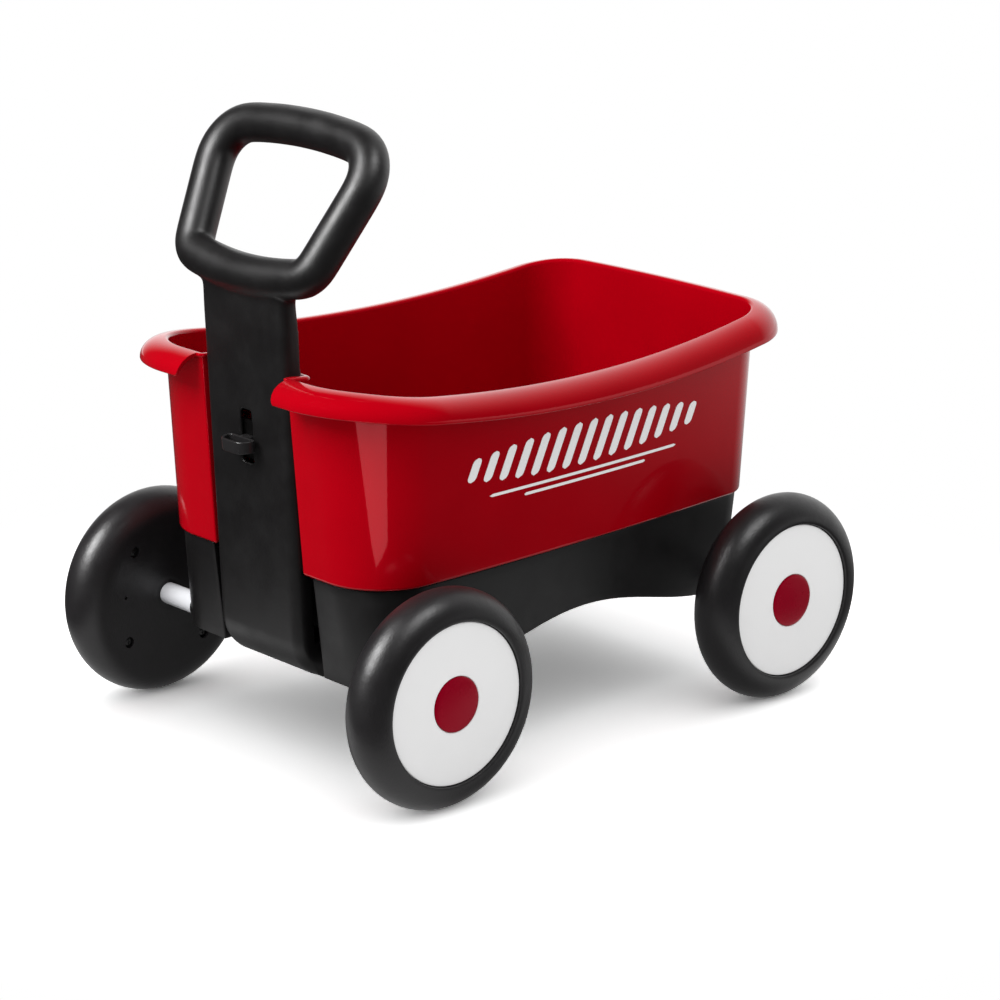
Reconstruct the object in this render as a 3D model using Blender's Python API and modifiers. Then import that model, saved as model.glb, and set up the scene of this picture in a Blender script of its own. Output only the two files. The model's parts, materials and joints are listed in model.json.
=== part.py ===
"""A child's pull wagon with a folding handle, in metres, +Z up.

The origin is on the floor, midway between the four wheels. The handle end faces -Y.
A plastic tub sits on a plastic chassis. Two steel axles cross the chassis and carry four
free wheels. The handle post turns on the front axle and carries a sliding latch.
"""

import math

import bmesh
import bpy
from mathutils import Matrix, Vector

# Clearances
GAP = 0.0003            # between pieces that rest on each other
RUNNING = 0.0001        # radial clearance of a bore that turns on an axle

# Wheels and axles
WHEEL_R = 0.0825
WHEEL_STEPS = 24
TYRE_TUBE_R = 0.020     # round section of the tyre
WHEEL_X = 0.1715        # centre plane of a wheel
AXLE_Y = 0.175          # half the wheelbase
AXLE_R = 0.004
SLEEVE_R = 0.0085
HUB_R = 0.009
RETAINER_R = 0.008
WHEEL_WALL = 0.003
DISC_R = 0.0608
DISC_FACE = 0.0176      # outer face of the disc, from the wheel's centre plane
CAP_R = 0.0209
WHEEL_SCREW_PITCH_R = 0.0514
WHEEL_SCREWS = 4
WHEEL_SCREW_PHASE = math.radians(51.5)

# Tub: its plan at the floor and at the rim, its wall and its rolled lip
TUB_FLOOR = {"z": 0.1523, "front": -0.2038, "rear": 0.2050, "half_front": 0.1320,
             "half_rear": 0.1158, "r_front": 0.0490, "r_rear": 0.0290,
             "channel_half": 0.0522, "channel_back": -0.1840, "bow": 0.050,
             "rear_bow": 0.005}
TUB_RIM = {"front": -0.2140, "rear": 0.2115, "half_front": 0.1372,
           "half_rear": 0.1236, "r_front": 0.0607, "r_rear": 0.0340,
           "channel_half": 0.0500, "channel_back": -0.1935, "bow": 0.052,
           "rear_bow": 0.006}
TUB_WALL = 0.0027
RIM_LOW = 0.2860        # height of the rim at its lowest point
RIM_LOW_Y = 0.0080
RIM_CURVE = {"front": 0.370, "rear": 0.425}     # height gained per square metre away from it
RIM_BEND = {"front": (0.1995, 0.033), "rear": (0.190, 0.030)}  # where the rim levels out
CROWN_R = 0.003
LIP_OUT = 0.0222
LIP_DROP = 0.0168
LIP_DEEPEN = 0.55       # the lip grows deeper towards the rear, by this share per metre
LIP_STEPS = 4
TUB_EDGE = 0.0025       # rounding of the tub's bottom edge
LIP_START = 0.0035      # the lip starts this far outside the channel

# Chassis
CHASSIS_TOP = {"front": -0.2009, "rear": 0.2020, "half_front": 0.1290,
               "half_rear": 0.1126, "r_front": 0.0470, "r_rear": 0.0260,
               "channel_half": 0.0594, "channel_back": -0.1500, "bow": 0.050,
               "rear_bow": 0.005}
CHASSIS_FOOT = {"front": -0.1918, "rear": 0.1950, "half_front": 0.1255,
                "half_rear": 0.1075, "r_front": 0.0400, "r_rear": 0.0240,
                "channel_half": 0.0594, "channel_back": -0.1500, "bow": 0.050,
                "rear_bow": 0.005}
CHASSIS_LOW = 0.0718
CHASSIS_ARCH = 0.0264   # rise of the side walls' lower edge between the wheels
ARCH_Y = 0.012
ARCH_HALF = 0.165
CHASSIS_WALL = 0.003
RIB_X = 0.0610
RIB_HALF_Y = 0.026
BOSS_R = 0.011
BOSS_FACE = 0.1125      # outer face of the axle bosses
SLEEVE_SEAT = 0.0060    # depth of the recess in a boss that takes the end of a sleeve
TUB_SCREW_AT = (0.045, 0.120)

# Handle post
POST_HALF = 0.0480
POST_DEPTH = 0.0160
POST_EDGE_R = 0.0090
POST_WALL = 0.0028
POST_LEAN = math.radians(2.45)
POST_FRONT = (-0.2080, 0.1485)      # a point (y, z) on the front face
POST_TOP_Z = 0.3480
HEEL_R = 0.035
HEEL_DEPTH = 0.0240
BARREL_R = 0.0170

# Handle grip: a closed loop of round tube, leaning back over the tub
GRIP_TUBE_R = 0.0147
GRIP_LEAN = math.radians(30.5)
GRIP_FOOT = (-0.2096, 0.3713)       # (y, z) where the loop's plane starts
GRIP_BOTTOM = (0.0683, 0.0053)      # bottom corner: half-width, distance up the plane
GRIP_TOP = (0.0930, 0.1084)
GRIP_BOTTOM_R = 0.018
GRIP_TOP_R = 0.028
GRIP_BOW = 0.006                    # how far the top and bottom bars bow outwards
PLUG_LENGTH = 0.045
GRIP_SCREW_X = 0.026

# Latch, measured along the post from its point POST_FRONT
SLOT_HALF = 0.0066
SLOT_LOW = 0.081
SLOT_HIGH = 0.121
KNOB_HALF = 0.0152
KNOB_NEAR = 0.0028      # the finger loop's near and far sides, in front of the post
KNOB_FAR = 0.0165
KNOB_NEAR_R = 0.0040
KNOB_FAR_R = 0.0095
KNOB_BAND = 0.0092
KNOB_WALL = 0.0022
KNOB_MID = 0.0968
STEM_HALF = (0.0055, 0.0044)
PLATE = (0.0110, 0.0150, 0.0030)    # half-width, half-height, thickness

# Screws
SCREW_R = 0.0019
SCREW_HEAD_R = 0.0034
SCREW_HEAD = 0.0015
SINK_DEPTH = 0.0018     # depth of the countersinks in the tub's floor

RED = ("tub_red", (0.42, 0.0, 0.012), 0.18, 0.0)
BLACK = ("frame_black", (0.016, 0.015, 0.015), 0.42, 0.0)
TYRE_BLACK = ("tyre_black", (0.014, 0.014, 0.014), 0.40, 0.0)
WHITE = ("disc_white", (0.78, 0.78, 0.78), 0.35, 0.0)
CAP_RED = ("cap_red", (0.30, 0.0, 0.012), 0.30, 0.0)
STEEL = ("steel", (0.55, 0.55, 0.56), 0.32, 1.0)
DARK_STEEL = ("screw_black", (0.03, 0.03, 0.03), 0.40, 0.6)


# ---------------------------------------------------------------- scene and objects

def clear_scene():
    for old in list(bpy.data.objects):
        bpy.data.objects.remove(old, do_unlink=True)


def make_collection(name):
    collection = bpy.data.collections.new(name)
    bpy.context.scene.collection.children.link(collection)
    return collection


def make_material(spec):
    name, colour, roughness, metallic = spec
    material = bpy.data.materials.get(name) or bpy.data.materials.new(name)
    material.use_nodes = True
    shader = material.node_tree.nodes["Principled BSDF"]
    shader.inputs["Base Color"].default_value = (*colour, 1.0)
    shader.inputs["Roughness"].default_value = roughness
    shader.inputs["Metallic"].default_value = metallic
    material.diffuse_color = (*colour, 1.0)
    return material


def add_object(name, mesh, spec, collection):
    """One named piece. Its own material carries the piece's name."""
    obj = bpy.data.objects.new(name, mesh)
    collection.objects.link(obj)
    own = (f"{spec[0]}_{name}",) + spec[1:]
    obj.data.materials.clear()
    obj.data.materials.append(make_material(own))
    return obj


def mesh_from_bmesh(name, bm):
    mesh = bpy.data.meshes.new(name)
    bm.to_mesh(mesh)
    bm.free()
    mesh.shade_smooth()
    mesh.set_sharp_from_angle(angle=math.radians(35))
    return mesh


def apply_modifiers(obj):
    """Replaces the object's mesh by its evaluated one."""
    bpy.context.view_layer.update()
    evaluated = obj.evaluated_get(bpy.context.evaluated_depsgraph_get())
    mesh = bpy.data.meshes.new_from_object(evaluated)
    obj.modifiers.clear()
    obj.data = mesh
    return obj


def boolean(obj, cutters, operation, helpers):
    """Applies one Boolean per cutter, and keeps the cutters out of the model."""
    for cutter in cutters:
        hide_helper(cutter, helpers)
        modifier = obj.modifiers.new(operation.lower(), "BOOLEAN")
        modifier.object = cutter
        modifier.operation = operation
        modifier.solver = "EXACT"
    apply_modifiers(obj)
    for cutter in cutters:
        bpy.data.objects.remove(cutter, do_unlink=True)


def hide_helper(obj, helpers):
    for collection in list(obj.users_collection):
        collection.objects.unlink(obj)
    helpers.objects.link(obj)
    obj.hide_render = True
    obj.display_type = "WIRE"


# ---------------------------------------------------------------- basic shapes

def cylinder_between(name, start, end, radius, segments, spec, collection):
    """A round bar from start to end."""
    start, end = Vector(start), Vector(end)
    span = end - start
    bm = bmesh.new()
    bmesh.ops.create_cone(bm, cap_ends=True, segments=segments, radius1=radius,
                          radius2=radius, depth=span.length)
    turn = span.to_track_quat("Z", "Y").to_matrix().to_4x4()
    bmesh.ops.transform(bm, matrix=turn, verts=bm.verts)
    obj = add_object(name, mesh_from_bmesh(name, bm), spec, collection)
    obj.location = (start + end) / 2
    return obj


def block(name, size, matrix, spec, collection):
    """A box of the given full size, placed by a matrix."""
    bm = bmesh.new()
    bmesh.ops.create_cube(bm, size=1.0)
    bmesh.ops.scale(bm, vec=size, verts=bm.verts)
    obj = add_object(name, mesh_from_bmesh(name, bm), spec, collection)
    obj.matrix_world = matrix
    return obj


def turned(name, profile, steps, spec, collection, closed=True):
    """A turned piece about local Z. The profile is (radius, height), down its outer side.

    The mesh is turned so that the piece's axis is world X, with its height outwards (+X).
    """
    mesh = bpy.data.meshes.new(name)
    points = [(radius, 0.0, height) for radius, height in profile]
    edges = [(i, i + 1) for i in range(len(points) - 1)]
    if closed:
        edges.append((len(points) - 1, 0))
    mesh.from_pydata(points, edges, [])
    obj = add_object(name, mesh, spec, collection)
    screw = obj.modifiers.new("turn", "SCREW")
    screw.steps = steps
    screw.render_steps = steps
    screw.use_merge_vertices = True
    screw.merge_threshold = 0.00001
    apply_modifiers(obj)
    obj.data.transform(Matrix.Rotation(math.radians(90), 4, "Y"))
    obj.data.shade_smooth()
    obj.data.set_sharp_from_angle(angle=math.radians(35))
    return obj


def arc_points(centre, radius, start, end, count):
    """Points on an arc, angles in degrees, both ends included."""
    points = []
    for i in range(count + 1):
        angle = math.radians(start + (end - start) * i / count)
        points.append((centre[0] + radius * math.cos(angle),
                       centre[1] + radius * math.sin(angle)))
    return points


def rounded(before, corner, after, radius, count):
    """The arc that rounds a corner between two straight lines."""
    corner = Vector(corner)
    back = (Vector(before) - corner).normalized()
    ahead = (Vector(after) - corner).normalized()
    half = back.angle(ahead) / 2
    start = corner + back * (radius / math.tan(half))
    centre = corner + (back + ahead).normalized() * (radius / math.sin(half))
    spoke = start - centre
    turn = (math.pi - 2 * half) * (1 if back.cross(ahead) < 0 else -1)
    points = []
    for i in range(count + 1):
        angle = turn * i / count
        cosine, sine = math.cos(angle), math.sin(angle)
        points.append(centre + Vector((spoke.x * cosine - spoke.y * sine,
                                       spoke.x * sine + spoke.y * cosine)))
    return points


def between(start, end, count):
    """Points that divide a straight line into count parts, ends left out."""
    start, end = Vector(start), Vector(end)
    return [start.lerp(end, i / count) for i in range(1, count)]


def thick_mesh(name, rows):
    """Half of a shell, open at x = 0. Each row is a list of (face point, back point) or None.

    The first row is closed by a flat face, and every free edge off the centre line is
    closed between the shell's two sides.
    """
    bm = bmesh.new()
    verts = {}
    for r, row in enumerate(rows):
        for i, pair in enumerate(row):
            if pair is not None:
                verts[r, i] = tuple(bm.verts.new(point) for point in pair)
    faces = [[(0, i) for i in range(len(rows[0]))]]
    for r in range(len(rows) - 1):
        for i in range(len(rows[0]) - 1):
            corners = [(r, i + 1), (r, i), (r + 1, i), (r + 1, i + 1)]
            if all(corner in verts for corner in corners):
                faces.append(corners)
    edges = [edge for face in faces for edge in zip(face, face[1:] + face[:1])]
    paired = set(edges)
    for face in faces:
        bm.faces.new([verts[corner][0] for corner in face])
        bm.faces.new([verts[corner][1] for corner in reversed(face)])
    for start, end in edges:
        middle = verts[start][0].co + verts[end][0].co
        if (end, start) not in paired and middle.x > 0.00001:
            bm.faces.new((verts[end][0], verts[start][0], verts[start][1], verts[end][1]))
    return mesh_from_bmesh(name, bm)


def mirror_half(obj):
    mirror = obj.modifiers.new("mirror", "MIRROR")
    mirror.merge_threshold = 0.00001
    apply_modifiers(obj)


# ---------------------------------------------------------------- tub and chassis plan

def half_plan(plan):
    """Right half of a plan outline, from the channel's centre to the rear centre."""
    half_front, half_rear = plan["half_front"], plan["half_rear"]
    front, rear = plan["front"], plan["rear"]
    inner = plan["channel_half"]
    corners = [(0.0, plan["channel_back"]), (inner, plan["channel_back"]),
               (inner, front), (half_front, front), (half_rear, rear), (0.0, rear)]
    points = [Vector(corners[0])]
    points += rounded(*corners[0:3], 0.003, 2)
    points += rounded(*corners[1:4], 0.0012, 1)
    lip_start = Vector((inner + LIP_START, front))
    points.append(lip_start)
    points += between(lip_start, (half_front - plan["r_front"], front), 2)
    points += rounded(*corners[2:5], plan["r_front"], 7)
    last = points[-1]
    rear_arc = rounded(*corners[3:6], plan["r_rear"], 5)
    points += between(last, rear_arc[0], 10)
    points += rear_arc
    points += between(rear_arc[-1], corners[5], 3)
    points.append(Vector(corners[5]))
    bowed = []
    for point in points:
        along = (point.y - front) / (rear - front)
        swell = 1 + plan["bow"] * 4 * along * (1 - along)
        across = min(point.x / half_rear, 1.0)
        back = plan["rear_bow"] * (1 - across ** 2) * max(along, 0.0) ** 4
        bowed.append(Vector((point.x * swell, point.y + back)))
    return bowed


def normals(points):
    """Outward direction at each point of a half plan; its ends lie on the centre line."""
    result = []
    for i in range(len(points)):
        if i == 0:
            tangent = Vector((1, 0))
        elif i == len(points) - 1:
            tangent = Vector((-1, 0))
        else:
            ahead = (points[i + 1] - points[i]).normalized()
            back = (points[i] - points[i - 1]).normalized()
            tangent = (ahead + back).normalized()
        result.append(Vector((tangent.y, -tangent.x)))
    return result


def offset(points, distance):
    return [p + n * distance for p, n in zip(points, normals(points))]


def rim_height(y):
    """The rim dips between the ends and levels out near each of them."""
    away = abs(y - RIM_LOW_Y)
    end = "rear" if y > RIM_LOW_Y else "front"
    start, length = RIM_BEND[end]
    curve = RIM_CURVE[end]
    if away <= start:
        return RIM_LOW + curve * away ** 2
    slope = 2 * curve * start
    past = min(away - start, length)
    return RIM_LOW + curve * start ** 2 + slope * past * (1 - past / (2 * length))


def lip_profile():
    """(away from the wall, drop, direction of the back side) from wall top to lip edge."""
    diagonal = math.sqrt(0.5)
    turn = 1 - diagonal
    profile = [(0.0, -CROWN_R, (1.0, 0.0)),
               (CROWN_R * turn, -CROWN_R * turn, (diagonal, -diagonal)),
               (CROWN_R, 0.0, (0.0, -1.0))]
    reach = LIP_OUT - CROWN_R
    for i in range(1, LIP_STEPS + 1):
        angle = math.radians(90 * i / LIP_STEPS)
        back = Vector((-LIP_DROP * math.sin(angle), -reach * math.cos(angle))).normalized()
        profile.append((CROWN_R + reach * math.sin(angle),
                        -LIP_DROP * (1 - math.cos(angle)), back))
    return profile


def tub_rows():
    """Rows of the tub from the floor's edge to the lip's edge: (inside, outside) points."""
    plan = half_plan(TUB_FLOOR)
    floor_z = TUB_FLOOR["z"]
    rows = []
    for step in (TUB_EDGE, 0.0):
        inside = offset(plan, -TUB_WALL - step * 0.6)
        outside = offset(plan, -step)
        rows.append([((*i, floor_z + TUB_WALL + (TUB_EDGE - step) * 0.6),
                      (*o, floor_z + TUB_EDGE - step)) for i, o in zip(inside, outside)])
    rim = offset(half_plan(TUB_RIM), -TUB_WALL)
    out = normals(rim)
    lip_x = TUB_RIM["channel_half"] + LIP_START * 0.9
    for number, (away, drop, back) in enumerate(lip_profile()):
        row = []
        for p, n in zip(rim, out):
            beside_post = p.x < lip_x and p.y < 0
            if beside_post and number > 0:
                row.append(None)
                continue
            drop_here = 0.0 if beside_post else drop * (1 + LIP_DEEPEN * p.y)
            z = rim_height(p.y) + drop_here
            row.append(((*(p + n * away), z), (*(p + n * (away + back[0] * TUB_WALL)),
                                              z + back[1] * TUB_WALL)))
        rows.append(row)
    return rows


def make_tub(collection, helpers):
    """The tub: one half shell, mirrored, with its screw holes."""
    tub = add_object("tub", thick_mesh("tub", tub_rows()), RED, collection)
    mirror_half(tub)
    floor_z = TUB_FLOOR["z"]
    for x, y in tub_screw_places():
        hole = cylinder_between("hole", (x, y, floor_z - 0.01), (x, y, floor_z + 0.01),
                                SCREW_R + GAP, 12, RED, helpers)
        sink = turned("sink", sink_profile(), 12, RED, helpers, closed=False)
        sink.matrix_world = tub_screw_matrix(x, y)
        boolean(tub, [hole, sink], "DIFFERENCE", helpers)
    return tub


def sink_profile():
    """The countersink in the floor for a tub screw, from above the floor down."""
    slope = (SCREW_HEAD_R - SCREW_R) / SINK_DEPTH
    wide, narrow = SCREW_HEAD_R + GAP, SCREW_R + GAP
    above = 0.001
    return [(0.0, SINK_DEPTH), (narrow, SINK_DEPTH), (wide + slope * above, -above),
            (0.0, -above)]


def tub_screw_matrix(x, y):
    """Local +X points down, and the origin lies on the floor."""
    turn = Matrix.Rotation(math.radians(90), 4, "Y")
    return Matrix.Translation((x, y, TUB_FLOOR["z"] + TUB_WALL)) @ turn


def tub_screw_places():
    return [(x, y) for x in (-TUB_SCREW_AT[0], TUB_SCREW_AT[0])
            for y in (-TUB_SCREW_AT[1], TUB_SCREW_AT[1])]


def chassis_low_edge(point):
    """The side walls' lower edge arches up between the wheels."""
    away = min(abs(point.y - ARCH_Y) / ARCH_HALF, 1.0)
    return CHASSIS_LOW + CHASSIS_ARCH * math.cos(math.pi / 2 * away) ** 2


def make_chassis(collection, helpers):
    """A deck with skirts, axle bosses, two rear ribs and the holes for axles and screws."""
    deck_z = TUB_FLOOR["z"] - GAP
    top, foot = half_plan(CHASSIS_TOP), half_plan(CHASSIS_FOOT)
    rows = [[((*o, deck_z), (*i, deck_z - CHASSIS_WALL))
             for o, i in zip(top, offset(top, -CHASSIS_WALL))],
            [((*o, chassis_low_edge(o)), (*i, chassis_low_edge(o)))
             for o, i in zip(foot, offset(foot, -CHASSIS_WALL))]]
    chassis = add_object("chassis", thick_mesh("chassis", rows), BLACK, collection)
    mirror_half(chassis)
    parts = []
    for side in (-1, 1):
        for y in (-AXLE_Y, AXLE_Y):
            parts.append(cylinder_between("boss", (side * (BOSS_FACE - 0.02), y, WHEEL_R),
                                          (side * BOSS_FACE, y, WHEEL_R), BOSS_R, 20,
                                          BLACK, helpers))
        rib_z = (CHASSIS_LOW + deck_z - 0.001) / 2
        place = Matrix.Translation((side * RIB_X, AXLE_Y - 0.006, rib_z))
        size = (CHASSIS_WALL, 2 * RIB_HALF_Y, deck_z - 0.001 - CHASSIS_LOW)
        parts.append(block("rib", size, place, BLACK, helpers))
    boolean(chassis, parts, "UNION", helpers)
    cuts = [cylinder_between("bore", (-0.14, y, WHEEL_R), (0.14, y, WHEEL_R),
                             AXLE_R + GAP, 20, BLACK, helpers) for y in (-AXLE_Y, AXLE_Y)]
    cuts += [cylinder_between("hole", (x, y, deck_z - 0.01), (x, y, deck_z + 0.01),
                              SCREW_R + GAP, 12, BLACK, helpers)
             for x, y in tub_screw_places()]
    seat = BOSS_FACE - SLEEVE_SEAT
    cuts += [cylinder_between("seat", (side * seat, y, WHEEL_R), (side * 0.14, y, WHEEL_R),
                              SLEEVE_R + GAP, 20, BLACK, helpers)
             for side in (-1, 1) for y in (-AXLE_Y, AXLE_Y)]
    boolean(chassis, cuts, "DIFFERENCE", helpers)
    return chassis


# ---------------------------------------------------------------- running gear

def make_axles(collection):
    """Two steel rods, and a push-on retainer on each end outside the wheel's hub."""
    end = WHEEL_X + 0.0135
    for name, y in (("front_axle", -AXLE_Y), ("rear_axle", AXLE_Y)):
        cylinder_between(name, (-end, y, WHEEL_R), (end, y, WHEEL_R), AXLE_R, 24,
                         STEEL, collection)
    inner = AXLE_R + GAP
    profile = [(0.0, 0.0148), (0.0050, 0.0146), (RETAINER_R, 0.0115), (RETAINER_R, 0.0088),
               (inner, 0.0088), (inner, 0.0138), (0.0, 0.0138)]
    for name, x, y in wheel_places():
        piece = turned(f"{name}_retainer", profile, 12, STEEL, collection, closed=False)
        place_on_wheel(piece, x, y)


def make_sleeves(collection):
    """White spacer tubes from recesses in the chassis bosses to the wheels' hubs."""
    start = BOSS_FACE - SLEEVE_SEAT + GAP
    end = WHEEL_X - 0.0170 - GAP
    for name, x, y in wheel_places():
        profile = [(SLEEVE_R, end), (SLEEVE_R, start), (AXLE_R + GAP, start),
                   (AXLE_R + GAP, end)]
        piece = turned(f"{name}_sleeve", profile, 16, WHITE, collection)
        piece.location = (0.0, y, WHEEL_R)
        if x < 0:
            piece.rotation_euler = (0.0, 0.0, math.pi)


def wheel_places():
    return [(f"{end}_{side}_wheel", x, y)
            for end, y in (("front", -AXLE_Y), ("rear", AXLE_Y))
            for side, x in (("left", -WHEEL_X), ("right", WHEEL_X))]


def place_on_wheel(obj, x, y):
    obj.location = (x, y, WHEEL_R)
    if x < 0:
        obj.rotation_euler = (0.0, 0.0, math.pi)


def wheel_profile():
    """Section of the black wheel: hub, closed inner side, round tyre and the disc's seat."""
    centre = (WHEEL_R - TYRE_TUBE_R, 0.0)
    seat_r = DISC_R + 0.0004
    seat_z = DISC_FACE - 0.003
    bore = AXLE_R + RUNNING
    outside = arc_points(centre, TYRE_TUBE_R, 94, 0, 5)
    outside += arc_points(centre, TYRE_TUBE_R, -18, -90, 4)
    hollow_r = TYRE_TUBE_R - WHEEL_WALL
    hollow_start = math.degrees(math.asin((seat_z - 0.002) / hollow_r))
    inside = arc_points(centre, hollow_r, -90, hollow_start, 5)
    points = [(seat_r, seat_z)] + outside
    points += [(0.044, -0.0190), (0.011, -0.0170), (bore, -0.0170), (bore, 0.0080),
               (HUB_R, 0.0080), (HUB_R, -0.0140), (0.044, -0.0160)]
    points += inside
    points += [(seat_r - 0.003, seat_z - 0.002), (seat_r - 0.003, seat_z)]
    return points


def disc_profile():
    """Section of the white disc, with a ledge that carries the cap."""
    face = DISC_FACE
    back = face - 0.0027
    ledge = face - 0.0020
    return [(CAP_R + GAP, face - 0.0004), (CAP_R + 0.0009, face), (DISC_R - 0.0010, face),
            (DISC_R, face - 0.0008), (DISC_R, back), (0.0240, back), (0.0240, back - 0.0012),
            (0.0170, back - 0.0012), (0.0170, ledge), (CAP_R + GAP, ledge)]


def cap_profile():
    """Section of the domed hub cap."""
    base = DISC_FACE - 0.0020 + GAP
    rim = DISC_FACE + 0.0004
    dome = 0.0012
    points = [(0.0, rim + dome), (0.0110, rim + dome * 0.78), (0.0190, rim + dome * 0.18)]
    return points + [(CAP_R, rim - 0.0008), (CAP_R, base), (0.0, base)]


def wheel_screw_places():
    """(y, z) of each screw round the wheel's axis."""
    places = []
    for i in range(WHEEL_SCREWS):
        angle = WHEEL_SCREW_PHASE + 2 * math.pi * i / WHEEL_SCREWS
        places.append((WHEEL_SCREW_PITCH_R * math.cos(angle),
                       WHEEL_SCREW_PITCH_R * math.sin(angle)))
    return places


def make_wheel_body(collection, helpers):
    """The black wheel, with a counterbored hole at each screw."""
    body = turned("wheel_body", wheel_profile(), WHEEL_STEPS, TYRE_BLACK, collection)
    cuts = []
    for y, z in wheel_screw_places():
        cuts.append(cylinder_between("counterbore", (-0.030, y, z), (-0.0180, y, z),
                                     SCREW_HEAD_R + GAP, 10, BLACK, helpers))
        cuts.append(cylinder_between("hole", (-0.030, y, z), (-0.010, y, z),
                                     SCREW_R + GAP, 6, BLACK, helpers))
    boolean(body, cuts, "DIFFERENCE", helpers)
    return body


def make_disc(collection, helpers):
    """The white disc and the posts on its back that take the screws."""
    disc = turned("disc", disc_profile(), WHEEL_STEPS, WHITE, collection)
    post_end = -0.0155
    posts, holes = [], []
    for y, z in wheel_screw_places():
        posts.append(cylinder_between("post", (DISC_FACE - 0.002, y, z), (post_end, y, z),
                                      0.0042, 10, WHITE, helpers))
        holes.append(cylinder_between("hole", (post_end - 0.01, y, z),
                                      (post_end + 0.010, y, z), SCREW_R + GAP, 6,
                                      WHITE, helpers))
    boolean(disc, posts, "UNION", helpers)
    boolean(disc, holes, "DIFFERENCE", helpers)
    return disc


def screw_mesh(length):
    """A pan-head screw along +X: its head's outer face is at 0 and its tip at length."""
    profile = [(0.0, length), (SCREW_R, length), (SCREW_R, SCREW_HEAD),
               (SCREW_HEAD_R, SCREW_HEAD), (SCREW_HEAD_R, 0.0), (0.0, 0.0)]
    return profile


def make_screw(name, length, steps, collection):
    return turned(name, screw_mesh(length), steps, STEEL, collection, closed=False)


def make_wheels(collection, helpers):
    """Four wheels, each a black body, a white disc, a red cap and four screws."""
    body = make_wheel_body(collection, helpers)
    disc = make_disc(collection, helpers)
    cap = turned("cap", cap_profile(), 16, CAP_RED, collection, closed=False)
    screw = make_screw("screw", 0.0095, 6, collection)
    for name, x, y in wheel_places():
        for source, label, spec in ((body, "tyre", TYRE_BLACK), (disc, "disc", WHITE),
                                    (cap, "cap", CAP_RED)):
            piece = add_object(f"{name}_{label}", source.data.copy(), spec, collection)
            place_on_wheel(piece, x, y)
        for number, (dy, dz) in enumerate(wheel_screw_places(), 1):
            piece = add_object(f"{name}_screw_{number}", screw.data.copy(), DARK_STEEL,
                               collection)
            piece.data.transform(Matrix.Translation((-0.0197, dy, dz)))
            place_on_wheel(piece, x, y)
    for source in (body, disc, cap, screw):
        bpy.data.objects.remove(source, do_unlink=True)


# ---------------------------------------------------------------- handle

def post_matrix(x, depth, height):
    """Places a piece by the post: depth is behind its front face, height along it."""
    up = Vector((0.0, -math.sin(POST_LEAN), math.cos(POST_LEAN)))
    inward = Vector((0.0, math.cos(POST_LEAN), math.sin(POST_LEAN)))
    origin = Vector((0.0, *POST_FRONT)) + up * height + inward * depth
    origin.x = x
    columns = (Vector((1.0, 0.0, 0.0)), inward, up)
    rotation = Matrix([[c[row] for c in columns] for row in range(3)])
    return Matrix.Translation(origin) @ rotation.to_4x4()


def post_top_height():
    return (POST_TOP_Z - POST_FRONT[1]) / math.cos(POST_LEAN)


def post_stations():
    """(height matrix, depth) of each U section, from the top of the post to its heel."""
    bottom_z = WHEEL_R - BARREL_R - GAP
    heel_height = (bottom_z + HEEL_R * (1 - math.sin(POST_LEAN)) - POST_FRONT[1])
    heel_height = heel_height / math.cos(POST_LEAN)
    straight = [post_top_height() * (1 - i / 4) + heel_height * i / 4 for i in range(5)]
    stations = [(post_matrix(0.0, 0.0, height), POST_DEPTH) for height in straight]
    pivot = post_matrix(0.0, HEEL_R, heel_height)
    steps = 7
    sweep = math.radians(90) + POST_LEAN
    for i in range(1, steps + 1):
        share = i / steps
        turn = Matrix.Rotation(sweep * share, 4, "X")
        matrix = pivot @ turn @ Matrix.Translation((0.0, -HEEL_R, 0.0))
        depth = POST_DEPTH + (HEEL_DEPTH - POST_DEPTH) * share * share * (3 - 2 * share)
        stations.append((matrix, depth))
    return stations


def post_section(depth):
    """Half of the U section: (x, depth) from the centre line round to the back edge."""
    flat = POST_HALF - POST_EDGE_R
    points = [(0.0, 0.0)]
    points += arc_points((flat, POST_EDGE_R), POST_EDGE_R, -90, 0, 3)
    points.append((POST_HALF, depth))
    return points


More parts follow.
